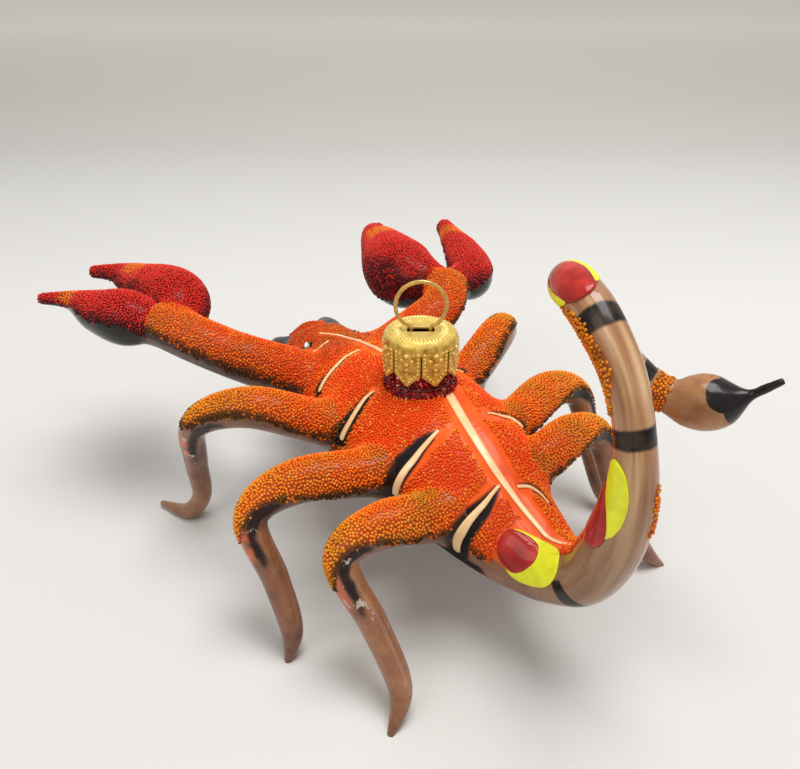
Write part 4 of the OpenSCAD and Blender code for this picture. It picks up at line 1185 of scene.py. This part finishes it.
def hangerWire():
    ring, gate, under = hanger["ring"], hanger["gate"], cap["under"]
    middle = under + hanger["seat"] + math.sqrt(ring ** 2 - gate ** 2)
    start = math.asin(gate / ring)
    splay, depth = hanger["splay"], hanger["depth"]
    leg = [(splay, under - depth), ((gate + splay) / 2, under - depth / 2), (gate, under - .4)]
    rows = [(-x, z) for x, z in leg]
    for i in range(hanger["points"] + 1):
        turn = start + (math.tau - 2 * start) * i / hanger["points"]
        rows.append((-ring * math.sin(turn), middle - ring * math.cos(turn)))
    rows += leg[::-1]
    wire = Limb([(x, 0, z, hanger["wire"], hanger["wire"]) for x, z in rows], (0, 1, 0))
    mesh = sweptMesh(wire)
    mesh.transform(capPlace)
    sharpen(mesh, 60)
    return link("hangerWire", mesh)


def giltFinish(name, low, middle, high, rough):
    finish = Finish(name, Metallic=.35)
    # painted reflection with some wear: dark and light patches of gilt stand in for what the metal would mirror
    wearAndPaintedReflection = finish.cloud(900, 4, .6)
    # painted light: the top of the cap is blended half way to the lightest gilt
    paintedTopLight = finish.ramp(finish.node("SeparateXYZ", {}, {0: finish.where()}, 2), .0464, .047)
    finish.feed("Base Color", finish.blend(paintedTopLight * .5, finish.stops(wearAndPaintedReflection, (.3, low), (.55, middle), (.8, high)), high))
    finish.rough(rough, 900, 3, .18)
    finish.bump(finish.cloud(1100, 3), .00012, .7)
    return finish


gilt = giltFinish("giltMetal", (160, 112, 34), (216, 172, 66), (250, 224, 122), .2)
# painted highlight: the raised stamping takes a lighter copy of the gilt
paintedHighlightGilt = giltFinish("giltRelief", (226, 190, 84), (246, 216, 112), (255, 240, 160), .12)
wireGilt = giltFinish("giltWire", (146, 104, 42), (194, 148, 68), (226, 186, 104), .14)
dress(capSheet(), gilt, "cap", ("cap",))
dress(capStamping(), paintedHighlightGilt, "cap")
dress(hangerWire(), wireGilt, "hanger", ("hanger",))
print("cap and hanger")

glitter = {"inner": 6.2, "outer": 6.85, "low": 31, "top": 38, "spacing": .24, "most": 60, "sizes": (.7, 1.25),
           "lift": .03, "flake": .2, "thick": .05, "sleeve": 3.2, "steps": 80, "seed": 5}


def glitterBand(name, sleeve):
    bm = bmesh.new()
    inner, outer, low, top = [glitter[key] for key in ("inner", "outer", "low", "top")]
    profile = [(inner, low), (outer, low), (outer, top - 1.6), (outer - .12, top - .9), (outer - .45, top - .3)]
    if sleeve:
        profile += [(inner + .05, top), (inner + .05, top + sleeve), (inner, top + sleeve)]
    else:
        profile += [(inner + .45, top), (inner, top)]
    rings = [ringOf(bm, glitter["steps"], radius, Matrix.Translation((0, 0, height))) for radius, height in profile]
    for first, second in zip(rings, rings[1:] + rings[:1]):
        bmesh.ops.bridge_loops(bm, edges=first + second)
    bmesh.ops.recalc_face_normals(bm, faces=bm.faces)
    band = keep(bm, name, matrix=Matrix())
    band.data.attributes.new("cover", "FLOAT", "POINT").data.foreach_set("value", [1.0] * len(band.data.vertices))
    return band


def flake(tree):
    return addNode(tree, "GeometryNodeMeshCylinder", {"fill_type": "NGON"},
                   {"Vertices": 6, "Radius": glitter["flake"], "Depth": glitter["thick"]}).outputs["Mesh"]


def glitterFinish():
    finish = Finish("redGlitter", Metallic=.85, Roughness=.16)
    tones = [(.1, (96, 4, 8)), (.6, (176, 18, 18)), (.88, (226, 70, 60)), (.97, (255, 206, 196))]
    finish.feed("Base Color", finish.stops(finish.mark("luck"), *tones))
    return finish


glueTones = [(.3, (66, 6, 8)), (.7, (120, 16, 14))]
band, sleeve = glitterBand("glitterGlue", 0), glitterBand("glitterSleeve", glitter["sleeve"])
flakes = scatter("glitterFlakes", sleeve, glitter["seed"], glitter, flake)
dress(flakes, glitterFinish(), "ornament")
drop(sleeve)
band.data.transform(toFrame)
glue = mottled("redGlue", (700, 3), glueTones, (.3, 900, 2, .3), Coat_Weight=.4)
dress(band, glue, "ornament", ("glitter_band",))
print("glitter")


def neckFinish():
    finish = Finish("bareGlass", Coat_Roughness=.03)
    height = finish.node("SeparateXYZ", {}, {0: finish.where()}, 2)
    glued = 1 - finish.ramp(height + finish.cloud(900, 2) * .0008, .0456, .0461)
    bare = finish.stops(finish.cloud(300, 4), (.3, (100, 90, 80)), (.7, (150, 138, 124)))
    red = finish.stops(finish.cloud(2600, 2), (.35, (48, 3, 5)), (.6, (112, 12, 12)), (.75, (196, 60, 50)))
    finish.feed("Base Color", finish.blend(glued, bare, red))
    finish.feed("Metallic", (1 - glued) * .6)
    finish.feed("Coat Weight", 1 - glued)
    finish.feed("Roughness", .12 + glued * .35)
    return finish


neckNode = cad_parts["neck_tube"]
neckNode.data.materials.clear()
neckNode.data.materials.append(neckFinish().material)


# Floor and light

# painted light: the floor tones change with distance from the camera, and the far floor glows
stage = {"size": 4, "world": .34, "horizon": .58, "glow": (.337, .7, .23), "glowTone": (255, 251.6, 243.4),
         "lit": (0, .01, .03),
         "tones": [(.038, (219, 217, 213)), (.154, (227, 225, 221)), (.262, (219, 217, 212)),
                   (.336, (211, 209, 203)), (.458, (216, 213, 206)), (.838, (250, 244, 230))],
         "lamps": {"overhead": {"at": (-.1, .05, .7), "size": .42, "power": 4.15},
                   "key": {"at": (.55, .1, .5), "size": .45, "power": 1.1},
                   "fill": {"at": (-.4, .6, .35), "size": .4, "power": .5}}}


def layStage():
    bm = bmesh.new()
    bmesh.ops.create_grid(bm, x_segments=1, y_segments=1, size=stage["size"])
    floor = keep(bm, "floor", matrix=Matrix())
    finish = Finish("paleFloor", Roughness=.75, Emission_Strength=1)
    turn = math.radians(view["azimuth"])
    depth = finish.node("VectorMath", {"operation": "DOT_PRODUCT"},
                        {0: finish.where(), 1: (-math.sin(turn), math.cos(turn), 0)}, "Value")
    # painted light: the floor's colour rises and falls with distance from the camera, as the light on it would
    tone = finish.stops((depth + .1) / 1.3, *stage["tones"])
    finish.feed("Base Color", finish.blend(finish.cloud(9, 2) * .06, tone, (190, 186, 178)))
    # painted light: the far floor glows, seen only by the camera and in reflections
    start, reach, slope = stage["glow"]
    glow = finish.seen() * (depth - start).most(0).least(reach) * slope
    finish.feed("Emission Color", finish.blend(glow, (0, 0, 0), stage["glowTone"]))
    floor.data.materials.append(finish.material)
    world = bpy.data.worlds.new("softRoom")
    world.use_nodes = True
    sky = Room(world.node_tree)
    sky.shader.inputs["Color"].default_value = (1, .985, .96, 1)
    sky.feed("Strength", sky.seen() * (stage["horizon"] - stage["world"]) + stage["world"])
    scene.world = world
    for name, lamp in stage["lamps"].items():
        data = bpy.data.lights.new(name, "AREA")
        data.shape, data.size, data.energy = "SQUARE", lamp["size"], lamp["power"]
        aimed(name, data, lamp["at"], stage["lit"])
    scene.view_settings.view_transform = "Standard"


layStage()
